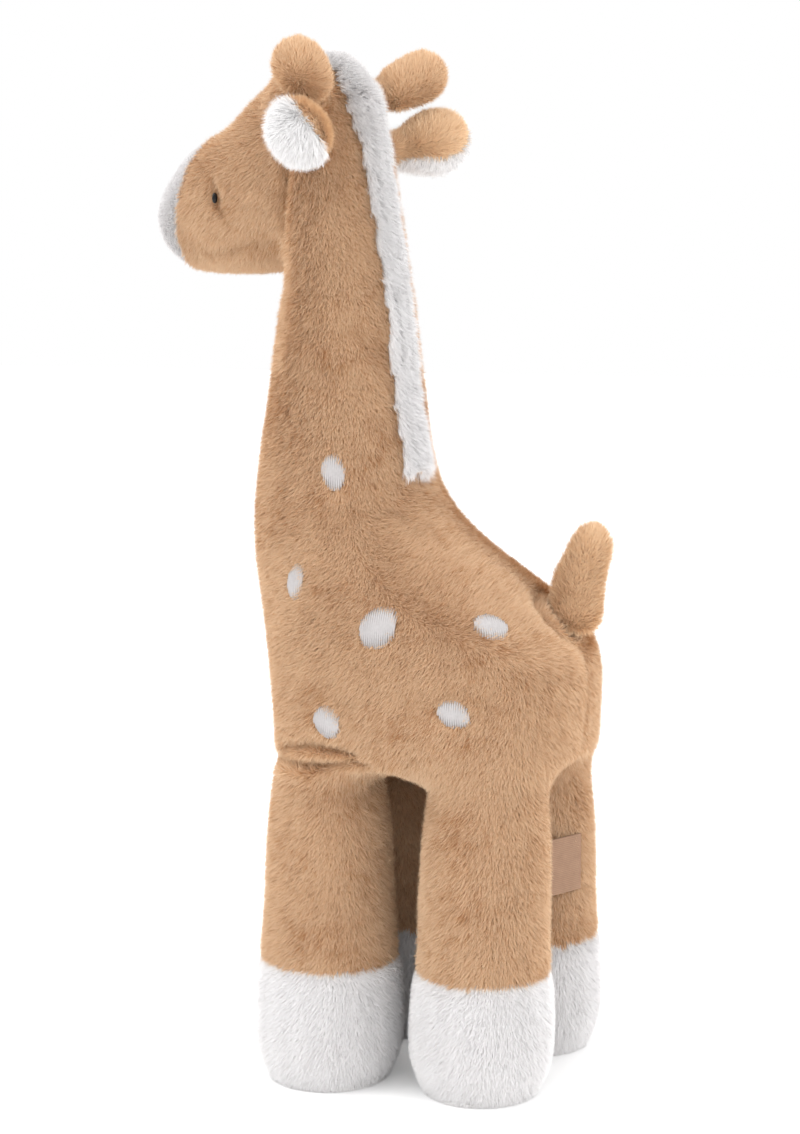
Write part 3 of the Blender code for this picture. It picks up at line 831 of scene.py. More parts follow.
class PileTree(GeometryTree):
    """Sets strands on cloth."""

    BROAD_SIZE = 0.028
    BROAD_SHARE = 0.45
    TWIST = 0.9
    SHORTEST, TALLEST = 0.72, 1.12
    OWN_NORMAL = 0.18

    def __init__(self, strand: bpy.types.Object) -> None:
        """Builds the tree.

        Args:
            strand: one strand, a unit long and standing on the origin.
        """
        numbers = ("Density", "Length", "Width", "Lift", "Clump", "Tuft", "Stray")
        inputs = [(name, "Float") for name in numbers]
        super().__init__("Pile", [*inputs, ("Seed", "Int"), ("Finish", "Material")])
        self.end(self._strands(strand))

    def _named(self, name: str, kind: str = "FLOAT") -> Value:
        """Reads a named attribute."""
        return self.node("GeometryNodeInputNamedAttribute", {"data_type": kind}, {"Name": name})

    def _store(self, geometry: Value, name: str, kind: str, value: Any, domain: str = "INSTANCE") -> Value:
        """Stores a named attribute."""
        settings = {"data_type": kind, "domain": domain}
        values = {"Geometry": geometry, "Name": name, "Value": value}
        return self.node("GeometryNodeStoreNamedAttribute", settings, values)

    def _random(self, low: float, high: float, seed: int) -> Value:
        """A number of its own for each strand."""
        return self.node("FunctionNodeRandomValue", {}, {2: low, 3: high, 8: seed}, 1)

    def _lean(self, normal: Value) -> Value:
        """The direction in which a strand stands, bunched into tufts.

        Args:
            normal: normal of the cloth.

        Returns:
            A direction, not of unit length.
        """
        given = self.given
        place = self.node("GeometryNodeInputPosition", {}, {})
        bunch = self.noise(place, given["Tuft"], 2.0, 0.6, "Color")
        wide = self.noise(place, self.BROAD_SIZE, 1.0, 0.5, "Color")
        box = {0: (-1.0, -1.0, -1.0), 1: (1.0, 1.0, 1.0), 8: 5}
        each = self.node("FunctionNodeRandomValue", {"data_type": "FLOAT_VECTOR"}, box)
        comb = self._named("comb", "FLOAT_VECTOR")
        narrow = self.vector("SCALE", bunch, 1.0 - self.BROAD_SHARE)
        both = self.vector("ADD", narrow, self.vector("SCALE", wide, self.BROAD_SHARE))
        swing = self.vector("SUBTRACT", both, (0.5, 0.5, 0.5))
        bunched = self.vector("SCALE", swing, given["Clump"] * 2.0)
        strayed = self.vector("SCALE", each, given["Stray"])
        upright = self.vector("SCALE", normal, given["Lift"])
        combed = self.vector("ADD", upright, comb)
        return self.vector("ADD", combed, self.vector("ADD", bunched, strayed))

    def _strands(self, strand: bpy.types.Object) -> Value:
        """Scatters, turns, sizes and labels the strands.

        Args:
            strand: the strand to repeat.

        Returns:
            The strands.
        """
        given = self.given
        density = given["Density"] * self._named("thick")
        values = {0: given["Geometry"], 4: density, 6: given["Seed"]}
        scatter = self.node("GeometryNodeDistributePointsOnFaces", {}, values)
        normal = Value(self, scatter.socket.node.outputs["Normal"])
        align = "FunctionNodeAlignRotationToVector"
        stood = self.node(align, {"axis": "Z"}, {"Vector": self._lean(normal)})
        settings = {"axis": "Y", "pivot_axis": "Z"}
        faced = self.node(align, settings, {"Rotation": stood, "Vector": normal})
        values = {0: (0.0, 0.0, 1.0), 1: self._random(-self.TWIST, self.TWIST, 11)}
        twist = self.node("FunctionNodeAxisAngleToRotation", {}, values)
        settings = {"rotation_space": "LOCAL"}
        turned = self.node("FunctionNodeRotateRotation", settings, {0: faced, 1: twist})
        uneven = self._random(self.SHORTEST, self.TALLEST, 7)
        tall = given["Length"] * uneven * self._named("long")
        size = self.node("ShaderNodeCombineXYZ", {}, {0: given["Width"], 1: tall, 2: tall})
        single = self.node("GeometryNodeObjectInfo", {}, {"Object": strand}, "Geometry")
        values = {0: scatter, 2: single, 5: turned, 6: size}
        marked = self.node("GeometryNodeInstanceOnPoints", {}, values)
        for name, kind, value in (
            ("rest", "FLOAT_VECTOR", self.node("GeometryNodeInputPosition", {}, {})),
            ("cloth", "FLOAT_VECTOR", normal),
            ("tone", "FLOAT", self._random(-1.0, 1.0, 3)),
            ("cell", "FLOAT", self.node("GeometryNodeInputIndex", {}, {})),
        ):
            marked = self._store(marked, name, kind, value)
        settings = {"component": "INSTANCES"}
        count = self.node("GeometryNodeAttributeDomainSize", settings, {0: marked}, "Instance Count")
        real = self.node("GeometryNodeRealizeInstances", {}, {"Geometry": marked})
        mapped = self._store(real, "OFBake", "FLOAT2", self._map(count), "CORNER")
        own = self.node("GeometryNodeInputNormal", {}, {})
        cloth = self._named("cloth", "FLOAT_VECTOR")
        soft = self.vector("ADD", cloth, self.vector("SCALE", own, self.OWN_NORMAL))
        values = {"Mesh": mapped, "Custom Normal": self.vector("NORMALIZE", soft)}
        return self.node("GeometryNodeSetMeshNormal", {"mode": "FREE", "domain": "POINT"}, values)

    def _map(self, count: Value) -> Value:
        """Gives each strand its own cell of a square map.

        Args:
            count: how many strands there are.

        Returns:
            The place on the map.
        """
        side = self.node("ShaderNodeMath", {"operation": "SQRT"}, {0: count})
        rows = self.node("ShaderNodeMath", {"operation": "CEIL"}, {0: side})
        cell = self._named("cell")
        row = self.node("ShaderNodeMath", {"operation": "FLOOR"}, {0: (cell + 0.5) / rows})
        across = (cell - row * rows + self._named("across")) / rows
        up = (row + self._named("along") * 0.9 + 0.05) / rows
        return self.node("ShaderNodeCombineXYZ", {}, {0: across, 1: up})


class Coat:
    """Grows pile on patches of a skin."""

    MOST_STRANDS = 190000
    QUICK_SHARE = 0.25
    QUICK_WIDTH = 1.6

    def __init__(self) -> None:
        """Makes the strand and the tree."""
        self.strand = self._strand()
        self.tree = PileTree(self.strand)

    def _strand(self) -> bpy.types.Object:
        """One strand: a slim triangle that tapers to its tip.

        Returns:
            A helper object.
        """
        points = [(0.5, 0.0, 0.0), (-0.5, 0.0, 0.0), (0.0, -0.08, 1.0)]
        mesh = bpy.data.meshes.new("strand")
        mesh.from_pydata(points, [], [(0, 1, 2)])
        write_attribute(mesh, "along", np.array([0.0, 0.0, 1.0]))
        write_attribute(mesh, "across", np.array([0.9, 0.1, 0.5]))
        return place_in_scene("strand", mesh)

    def grow(
        self, name: str, patch: bpy.types.Object, pile: Pile, finish: bpy.types.Material
    ) -> list[bpy.types.Object]:
        """Grows pile on a patch, in as many pieces as its strands need.

        Args:
            name: name of the pieces.
            patch: helper object with the attributes comb, thick, long and shade.
            pile: kind of pile.
            finish: its material.

        Returns:
            The pieces.
        """
        mesh = patch.data
        thin = 1.0
        density = pile.per_square_mm * 1e6 * thin
        thick = np.empty(len(mesh.vertices))
        mesh.attributes["thick"].data.foreach_get("value", thick)
        weight = areas(mesh) * on_faces(mesh, thick) * density
        count = max(1, math.ceil(weight.sum() / self.MOST_STRANDS))
        order = np.argsort(centres(mesh)[:, 2])
        share = np.cumsum(weight[order]) / weight.sum()
        band = np.empty(len(order), int)
        band[order] = np.minimum((share * count).astype(int), count - 1)
        made = []
        for index in range(count):
            part = faces_part(patch, band == index, f"{name}_{index + 1}" if count > 1 else name)
            self._plant(part, pile, density, finish)
            made.append(part)
            LOG.info("%s: %d triangles", part.name, len(part.data.polygons))
        return made

    def _plant(self, part: bpy.types.Object, pile: Pile, density: float, finish: bpy.types.Material) -> None:
        """Turns a patch into its strands.

        Args:
            part: patch, which becomes the pile.
            pile: kind of pile.
            density: strands a square metre.
            finish: its material.
        """
        width = pile.width * 1.0
        values = {"Density": density, "Length": pile.length, "Width": width, "Lift": pile.lift}
        values |= {"Clump": pile.clump, "Tuft": pile.tuft, "Stray": pile.stray}
        self.tree.turn_into(part, values | {"Seed": pile.seed, "Finish": finish})


def quarter(points: np.ndarray, leg: str) -> np.ndarray:
    """Tells which points are on the side and at the end of one leg."""
    rear, left = leg.startswith("rear"), leg.endswith("left")
    return ((points[:, 1] > MID_Y) == rear) & ((points[:, 0] > 0.0) == left)


# Tilt in degrees, slimness and pointedness of each spot, from the neck down
SPOT_SHAPES = (
    (14.0, 0.62, 0.20),
    (-6.0, 0.50, 0.30),
    (-34.0, 0.80, 0.25),
    (42.0, 0.78, 0.10),
    (32.0, 0.78, 0.10),
    (62.0, 0.72, 0.30),
)

# Pushes on the stuffing of the head
PRESSES = (
    Press((-16, -56, 367), 0.0180, -0.0050),
    Press((-27, -88, 330), 0.0160, 0.0034),
    Press((-9, -84, 311), 0.0120, -0.0040),
    Press((6, -40, 306), 0.0130, -0.0040),
    Press((-20, -82, 316), 0.0120, 0.0016),
    Press((-18, -78, 350), 0.0140, 0.0030),
)

# Pushes on the stuffing of the tail
TAIL_PRESSES = (
    Press((0, 76, 188), 0.0120, 0.0036),
    Press((0, 88, 204), 0.0110, -0.0016),
    Press((0, 84, 216), 0.0080, 0.0020),
    Press((0, 97, 192), 0.0100, -0.0018),
    Press((0, 87, 180), 0.0090, 0.0022),
)

# Seams and folds: line, width, depth, the painted shade that darkens the pile along it, and mirror
CREASES: tuple[Crease, ...] = (
    Crease(
        ((21.4, -26.5, 348), (21.2, -27.4, 343.5), (19.7, -29.8, 330.6), (17.1, -32.4, 319.5),
         (16.4, -32.8, 310)),
        0.0032, 0.0048, 0.95, Mirror.HEAD,
    ),
    Crease(
        ((-5.3, -73.5, 311.2), (-0.6, -62.7, 311.9), (4.3, -52.5, 313.8), (9.5, -35.5, 315.6)),
        0.0026, 0.0013, 0.18, Mirror.HEAD,
    ),
    Crease(
        ((8.5, -63.1, 341), (9.0, -61.6, 336.3), (7.0, -61.8, 332.6), (8.6, -59.2, 328)),
        0.0020, 0.0022, 0.45, Mirror.HEAD,
    ),
    Crease(
        ((-5, -86.7, 334), (-4, -84.1, 322.2), (-4.8, -80.2, 315.9), (-5.2, -76, 312.4)),
        0.0016, 0.0007, 0.10, Mirror.HEAD,
    ),
    Crease(
        ((30, -31, 122.5), (46.4, -17.2, 123), (51.5, -1.7, 123.4), (52.9, 9, 123.6), (53.2, 20, 123.8)),
        0.0022, 0.0044, 0.95, Mirror.BODY,
    ),
    Crease(
        ((44, -19, 128.5), (50.9, -6, 131), (52.9, 7, 130.8), (53.3, 15.2, 129.2)),
        0.0022, 0.0034, 0.80, Mirror.BODY,
    ),
    Crease(
        ((8, 88, 172), (6.1, 89.7, 167.7), (1.8, 91.5, 162.6), (0, 91.9, 146.4), (0, 88, 128)),
        0.0024, 0.0018, 0.36,
    ),
    Crease(
        ((0, 70, 190), (12.6, 73.3, 184.9), (16.3, 79.7, 179.1), (14.7, 85, 173.9),
         (8, 88.5, 169.5), (0, 90, 168)),
        0.0026, 0.0022, 0.30, Mirror.BODY,
    ),
    Crease(
        ((20, -33, 286), (24.2, -23.5, 284), (27.8, -7.4, 287.2), (23.2, 6.8, 284.2), (18.6, 12.9, 278.6)),
        0.0050, 0.0008, 0.14, Mirror.BODY,
    ),
    Crease(
        ((20, -36, 266), (25.7, -25, 267.1), (29.9, -6.6, 268.7), (26.3, 6.1, 265.8)),
        0.0050, 0.0008, 0.14, Mirror.BODY,
    ),
    Crease(
        ((37.8, 0.7, 214.4), (33.1, 10.9, 221.8), (26.6, 24.2, 217.2), (25.6, 31.8, 210.7)),
        0.0050, 0.0006, 0.16, Mirror.BODY,
    ),
    Crease(
        ((53.4, 38, 150.2), (52.6, 50.2, 152.6), (50.3, 60.9, 154.7), (48.1, 67.8, 153)),
        0.0042, 0.0008, 0.16, Mirror.BODY,
    ),
    Crease(
        ((50.4, -6.2, 148.3), (52.5, 6.9, 153.3), (53.4, 13.3, 148.3)),
        0.0042, 0.0006, 0.14, Mirror.BODY,
    ),
)


class Finishes:
    """Every material of the toy."""

    def __init__(self) -> None:
        """Builds the materials."""
        self.tan_pile = PlushFinish(
            "Tan pile",
            root=rgb(205, 164, 124),
            middle=rgb(223, 186, 148),
            tip=rgb(232, 204, 173),
            patch=rgb(207, 171, 134),
            # Colour that painted light mixes the tan pile towards
            pale=rgb(250, 221, 184),
        ).build()
        self.white_pile = PlushFinish(
            "White pile",
            root=rgb(246, 244, 244),
            middle=rgb(249, 247, 247),
            tip=rgb(249, 248, 248),
            patch=rgb(250, 249, 249),
            # Colour that painted light mixes the white pile towards
            pale=rgb(250, 249, 249),
        ).build()
        self.tan_cloth = ClothFinish("Tan cloth", rgb(208, 168, 131)).build()
        self.white_cloth = ClothFinish("White cloth", rgb(238, 235, 233)).build()
        self.thread = self._thread()
        self.label = self._label()
        self.bead = self._bead()

    def _thread(self) -> bpy.types.Material:
        """Satin thread, pale grey with a soft shine."""
        shader = Shader("Satin thread")
        place = shader.place()
        fine = shader.noise(place, 0.0009, 2.0, 0.5)
        broad = shader.noise(place, 0.006, 2.0, 0.5)
        colour = shader.mix((fine * 0.5 + broad * 0.5), rgb(160, 156, 156), rgb(206, 202, 202))
        relief = shader.relief(fine, 0.3, 0.0002)
        return shader.surface(
            {"Base Color": colour, "Roughness": 0.42, "Sheen Weight": 0.2, "Normal": relief}
        )

    def _label(self) -> bpy.types.Material:
        """Greyish brown ribbon with a fine weave across it."""
        shader = Shader("Label cloth")
        place = shader.place()
        rows = shader.node(
            "ShaderNodeTexWave",
            {"wave_type": "BANDS", "bands_direction": "Z"},
            {"Vector": place, "Scale": 420.0, "Distortion": 0.6},
            "Fac",
        )
        mottle = shader.noise(place, 0.004, 2.0, 0.5)
        colour = shader.mix((rows * 0.4 + mottle * 0.6), rgb(128, 98, 77), rgb(166, 132, 107))
        relief = shader.relief(rows, 0.4, 0.0002)
        return shader.surface({"Base Color": colour, "Roughness": 0.8, "Normal": relief})

    def _bead(self) -> bpy.types.Material:
        """Glossy black bead."""
        shader = Shader("Bead")
        return shader.surface(
            {"Base Color": rgb(12, 11, 11), "Roughness": 0.16, "Specular IOR Level": 0.3}
        )


def comb_towards(
    mesh: bpy.types.Mesh, directions: np.ndarray, strength: float = 0.75, least: float = 0.25
) -> None:
    """Lays the pile of a skin along the given directions.

    Args:
        mesh: skin.
        directions: one direction, or one for each point.
        strength: how far the pile lies over.
        least: share of a direction along the cloth below which the pile lies over less.
    """
    normals = read_normals(mesh)
    wanted = np.broadcast_to(directions, normals.shape)
    flat = wanted - np.sum(wanted * normals, axis=1)[:, None] * normals
    size = np.linalg.norm(flat, axis=1)[:, None]
    write_attribute(mesh, "comb", strength * flat / np.maximum(size, least))


def shell(patch: bpy.types.Object, name: str, thickness: float = 0.0012) -> bpy.types.Object:
    """Gives a copy of a patch a wall, so that it is a closed piece of cloth.

    Args:
        patch: helper object.
        name: name of the piece.
        thickness: thickness of the wall, inwards.

    Returns:
        The piece.
    """
    made = place_in_scene(name, patch.data.copy())
    wall = made.modifiers.new("Wall", "SOLIDIFY")
    wall.thickness = thickness
    wall.offset = -1.0
    apply_modifiers(made)
    for attribute in ("comb", "thick", "long", "shade"):
        found = made.data.attributes.get(attribute)
        if found:
            made.data.attributes.remove(found)
    return made


def upholster(
    piece: bpy.types.Object, materials: Sequence[bpy.types.Material], which: np.ndarray | None = None
) -> None:
    """Gives a piece its materials.

    Args:
        piece: piece to dress.
        materials: its materials.
        which: the material's number for each face, or nothing for the first one.
    """
    piece.data.materials.clear()
    for material in materials:
        piece.data.materials.append(material)
    if which is not None:
        piece.data.polygons.foreach_set("material_index", which.astype(np.int32))
    piece.data.update()


# How the pile lies, by region. Those of the neck, the face and the muzzle turn with the head
BODY_LIE = np.array((0.0, -0.45, -1.0))
SADDLE_LIE = np.array((0.0, 0.4, -0.2))
SPINE_LIE = np.array((0.9, 0.0, 0.0))
NECK_LIE = np.array((0.0, 0.45, -1.0))
FACE_LIE = np.array((0.0, -0.35, -1.0))
MUZZLE_LIE = np.array((0.0, 1.0, -0.25))
MANE_LIE = (0.0, 0.4, -1.0)
HORN_LIE = (0.0, 0.0, 1.0)


@dataclass
class Suit:
    """Torso, neck, head, horns and legs, sewn as one skin and parted where the legs join the torso."""

    finishes: Finishes
    coat: Coat
    creases: Sequence[Crease]
    spots: Sequence["Spot"]
    beads: Sequence["Bead"]
    presses: Sequence[Press]
    room: float = 0.0036
    stuffing: Stuffing = Stuffing()
    seam_depth: float = 0.0012
    tan: Pile = Pile(0.0036, 0.00034, 7.9, lift=0.9, clump=0.6, tuft=0.0026, stray=0.4)
    white: Pile = Pile(0.0032, 0.00036, 10.0, lift=1.0, clump=0.25, tuft=0.0026, stray=0.22, seed=2)
    mane: Pile = Pile(0.0062, 0.00038, 24.0, lift=1.1, clump=0.4, tuft=0.003, stray=0.3, seed=3)
    torso_nodes: tuple[str, ...] = (
        "body_cover_left",
        "body_cover_right",
        "body_filling",
        *CROWN,
        "face_cover",
        "muzzle_cover",
        "head_filling",
        "horn_left_cover",
        "horn_left_filling",
        "horn_right_cover",
        "horn_right_filling",
        *MANE,
    )
    horns: tuple[str, ...] = ("horn_left_cover", "horn_right_cover")
    tan_covers: tuple[str, ...] = (
        "face_cover",
        *CROWN,
        "body_cover_left",
        "body_cover_right",
        *horns,
    )
    white_covers: tuple[str, ...] = ("muzzle_cover", *MANE)
    horn_swell: float = 0.0016
    horn_reach: float = 0.012
    horn_limit: float = 0.011
    horn_fade: float = 0.006
    horn_grown: float = 0.003
    # How far the painted light on the horns reaches
    painted_light_horn_reach: float = 0.004
    horn_length: float = 0.85
    muzzle_length: float = 0.8
    seam_trim: float = 0.45
    # How much painted light makes the horns' pile paler
    horn_painted_light: float = 0.45
    mane_ease: float = 0.0030
    mane_top: Ramp = (0.350, 0.02)
    sole_trim: float = 0.75
    sole_near: Ramp = (0.008, -0.004)
    sole_facing: Ramp = (0.6, 0.3)
    sole_held: float = 0.006
    cuff_held: float = 0.003
    spot_held: float = 0.9
    neck_lay: tuple[float, float] = (0.18, 0.29)
    spine_reach: float = 0.012
    back_facing: float = 0.75
    join_z: float = 0.119
    join_reach: float = 0.020
    join_rounds: int = 50
    thigh: float = 0.0022
    thigh_foot: Ramp = (0.03, 0.05)
    thigh_top: Ramp = (0.135, -0.03)
    cuff_reach: float = 0.0022
    cuff_depth: float = 0.0008
    sole_drop: float = 0.0040
    sole_reach: float = 0.0100
    foot_reach: float = 0.0150
    foot_round: float = 0.13
    foot_spread: float = 0.09
    foot_top: Ramp = (0.080, -0.04)
    rear_spread: float = 0.4

    def _fill_out(self, mesh: bpy.types.Mesh) -> None:
        """Rounds the joins of legs and belly, fills thighs and horns out, and shapes the feet.

        Args:
            mesh: the whole skin.
        """
        height = read_points(mesh)[:, 2]
        ease(mesh, bell(height - self.join_z, self.join_reach), self.join_rounds)
        height = read_points(mesh)[:, 2]
        swell(mesh, self.thigh * (ramp(height, self.thigh_foot) * ramp(height, self.thigh_top)))
        points = read_points(mesh)
        near = distances(points, self.horns, self.horn_reach)
        others = distances(points, CROWN, self.horn_reach)
        horn = smoothstep((others - near) / self.horn_fade) * (near < self.horn_limit)
        swell(mesh, self.horn_swell * horn)
        points = read_points(mesh)
        points[:, 2] -= self.sole_drop * smoothstep((self.sole_reach - points[:, 2]) / self.sole_reach)
        under = np.clip((self.foot_reach - points[:, 2]) / self.foot_reach, 0.0, 1.0) ** 2
        for end, share in (("front", 1.0), ("rear", self.rear_spread)):
            for side in reversed(SIDES):
                mine = quarter(points, f"{end}_{side}")
                middle = points[mine & (under > 0.0), :2].mean(axis=0)
                foot = mine & (points[:, 2] < CUFF_Z * 2.0)
                scale = self.foot_spread * share * ramp(points[foot, 2], self.foot_top)
                scale -= self.foot_round * under[foot]
                points[foot, :2] += scale[:, None] * (points[foot, :2] - middle)
        write_points(mesh, points)
        swell(mesh, -self.cuff_depth * bell(points[:, 2] - CUFF_Z, self.cuff_reach))

    def _stuff(self, skin: bpy.types.Object, outer: np.ndarray) -> None:
        """Swells the skin between its seams, its cuffs and its soles.

        Args:
            skin: the whole skin.
            outer: for each of its points, the place at the tips of the pile.
        """
        height = read_points(skin.data)[:, 2]
        held = np.maximum(bell(height - CUFF_Z, self.cuff_held), height < self.sole_held)
        for crease in self.creases:
            if crease.depth >= self.seam_depth:
                held = np.maximum(held, crease.share(outer))
        for spot in self.spots:
            held = np.maximum(held, self.spot_held * spot.cover(outer))
        self.stuffing.fill(skin, held)

    def build(self) -> None:
        """Makes the skin, parts it and grows its pile."""
        names = list(self.torso_nodes)
        for leg in LEGS:
            names += [f"leg_{leg}_cover", f"leg_{leg}_filling", f"foot_{leg}_cover", f"foot_{leg}_sole"]
        spots = [spot.node for spot in self.spots]
        skin = Skin(names + spots, room=self.room).build()
        self._fill_out(skin.data)
        for press in self.presses:
            press.push(skin.data)
        outer = read_points(skin.data) + self.room * read_normals(skin.data)
        self._stuff(skin, outer)
        carve(skin, self.creases, outer)
        regions = self._mark(skin, outer)
        LOG.info("skin: %d faces", len(skin.data.polygons))
        middle = centres(skin.data)
        low = middle[:, 2] < LEG_SPLIT_Z
        torso = faces_part(skin, ~low, "torso_patch")
        self._torso(torso, regions[~low])
        for leg in LEGS:
            self._leg(leg, faces_part(skin, low & quarter(middle, leg), "leg_patch"))
        discard(skin)

    def _mark(self, skin: bpy.types.Object, outer: np.ndarray) -> np.ndarray:
        """Writes how the pile grows on the skin, with its painted shade and painted light.

        Args:
            skin: the whole skin.
            outer: for each of its points, the place at the tips of the pile.

        Returns:
            For each face, 0 on tan cloth, 1 on the muzzle and 2 on the mane.
        """
        mesh = skin.data
        height = outer[:, 2]
        head = height > HEAD_Z
        gap_tan = distances(outer, self.tan_covers)
        gap_horn = distances(outer, self.horns)
        muzzle = (distances(outer, ["muzzle_cover"]) < gap_tan) & head
        gap_mane = distances(outer, MANE)
        mane = (gap_mane < gap_tan + self.mane_ease * ramp(height, self.mane_top)) & head & ~muzzle
        horns = gap_horn < self.horn_grown
        face = (distances(outer, ["face_cover"]) < distances(outer, CROWN)) & head
        comb_towards(mesh, self._lie(mesh, height, face, muzzle, mane, horns))
        shade = np.empty(len(outer))
        mesh.attributes["shade"].data.foreach_get("value", shade)
        thick = np.ones(len(outer))
        for bare in (*self.spots, *self.beads):
            thick *= 1.0 - bare.cover(outer)
        long = 1.0 - self.seam_trim * shade
        long[muzzle] *= self.muzzle_length
        long[horns] *= self.horn_length
        sole = ramp(read_points(mesh)[:, 2], self.sole_near)
        sole *= ramp(-read_normals(mesh)[:, 2], self.sole_facing)
        long *= 1.0 - self.sole_trim * sole
        # Painted light on the horns: a shade below 0 makes their pile paler
        shade -= self.horn_painted_light * (1.0 - smoothstep(gap_horn / self.painted_light_horn_reach))
        write_attribute(mesh, "shade", shade)
        write_attribute(mesh, "thick", thick)
        write_attribute(mesh, "long", long)
        nose = on_faces(mesh, muzzle.astype(float)) > 0.5
        white = on_faces(mesh, mane.astype(float)) > 0.5
        return np.where(white, 2, np.where(nose, 1, 0))

    def _lie(self, mesh: bpy.types.Mesh, height: np.ndarray, *regions: np.ndarray) -> np.ndarray:
        """Says which way the pile lies.

        Args:
            mesh: the whole skin.
            height: for each of its points, the height at the tips of the pile.
            regions: which points are on the face, the muzzle, the mane and the horns.

        Returns:
            One direction for each point.
        """
        turn = np.array(Matrix.Rotation(HEAD_TURN, 3, "Z"))
        start, end = self.neck_lay
        upper = smoothstep((height - start) / (end - start))[:, None]
        lie = (1.0 - upper) * BODY_LIE + upper * (turn @ NECK_LIE)
        side = read_points(mesh)[:, :1]
        inward = -np.sign(side) * smoothstep(np.abs(side) / self.spine_reach)
        back = smoothstep(read_normals(mesh)[:, 2] / self.back_facing)[:, None] * (1.0 - upper)
        lie = (1.0 - back) * lie + back * (inward * SPINE_LIE + SADDLE_LIE)
        directions = (turn @ FACE_LIE, turn @ MUZZLE_LIE, MANE_LIE, HORN_LIE)
        for region, direction in zip(regions, directions):
            lie[region] = direction
        return lie

    def _torso(self, patch: bpy.types.Object, regions: np.ndarray) -> None:
        """Makes the torso's cloth and pile.

        Args:
            patch: the part of the skin above the legs.
            regions: kind of cloth of each face.
        """
        cloth = shell(patch, "torso_cloth")
        gaps = [distances(centres(cloth.data), names) for names in (self.white_covers, self.tan_covers)]
        pale = (gaps[0] < gaps[1]) & (centres(cloth.data)[:, 2] > HEAD_Z)
        upholster(cloth, [self.finishes.tan_cloth, self.finishes.white_cloth], pale)
        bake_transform(cloth)
        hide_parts(*self.torso_nodes)
        white, tan = self.finishes.white_pile, self.finishes.tan_pile
        kinds = (("torso_pile", 0, self.tan, tan, "tan_plush"),
                 ("muzzle_pile", 1, self.white, white, "white_plush"),
                 ("mane_pile", 2, self.mane, white, "white_plush"))
        for name, region, pile, finish, slot in kinds:
            area = faces_part(patch, regions == region, "area")
            for piece in self.coat.grow(name, area, pile, finish):
                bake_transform(piece)
            discard(area)
        discard(patch)

    def _leg(self, leg: str, patch: bpy.types.Object) -> None:
        """Makes one leg's cloth and pile.

        Args:
            leg: the leg's name, such as front_left.
            patch: the part of the skin below the hip.
        """
        middle = np.mean(read_points(patch.data), axis=0)
        cloth = shell(patch, f"leg_{leg}_cloth")
        foot = centres(cloth.data)[:, 2] < CUFF_Z
        upholster(cloth, [self.finishes.tan_cloth, self.finishes.white_cloth], foot)
        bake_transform(cloth)
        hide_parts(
            f"leg_{leg}_cover", f"leg_{leg}_filling", f"foot_{leg}_cover", f"foot_{leg}_sole"
        )
        low = centres(patch.data)[:, 2] < CUFF_Z
        for name, keep, pile, finish, slot in (
            (f"leg_{leg}_pile", ~low, self.tan, self.finishes.tan_pile, "tan_plush"),
            (f"foot_{leg}_pile", low, self.white, self.finishes.white_pile, "white_plush"),
        ):
            area = faces_part(patch, keep, "area")
            for piece in self.coat.grow(name, area, pile, finish):
                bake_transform(piece)
            discard(area)
        discard(patch)


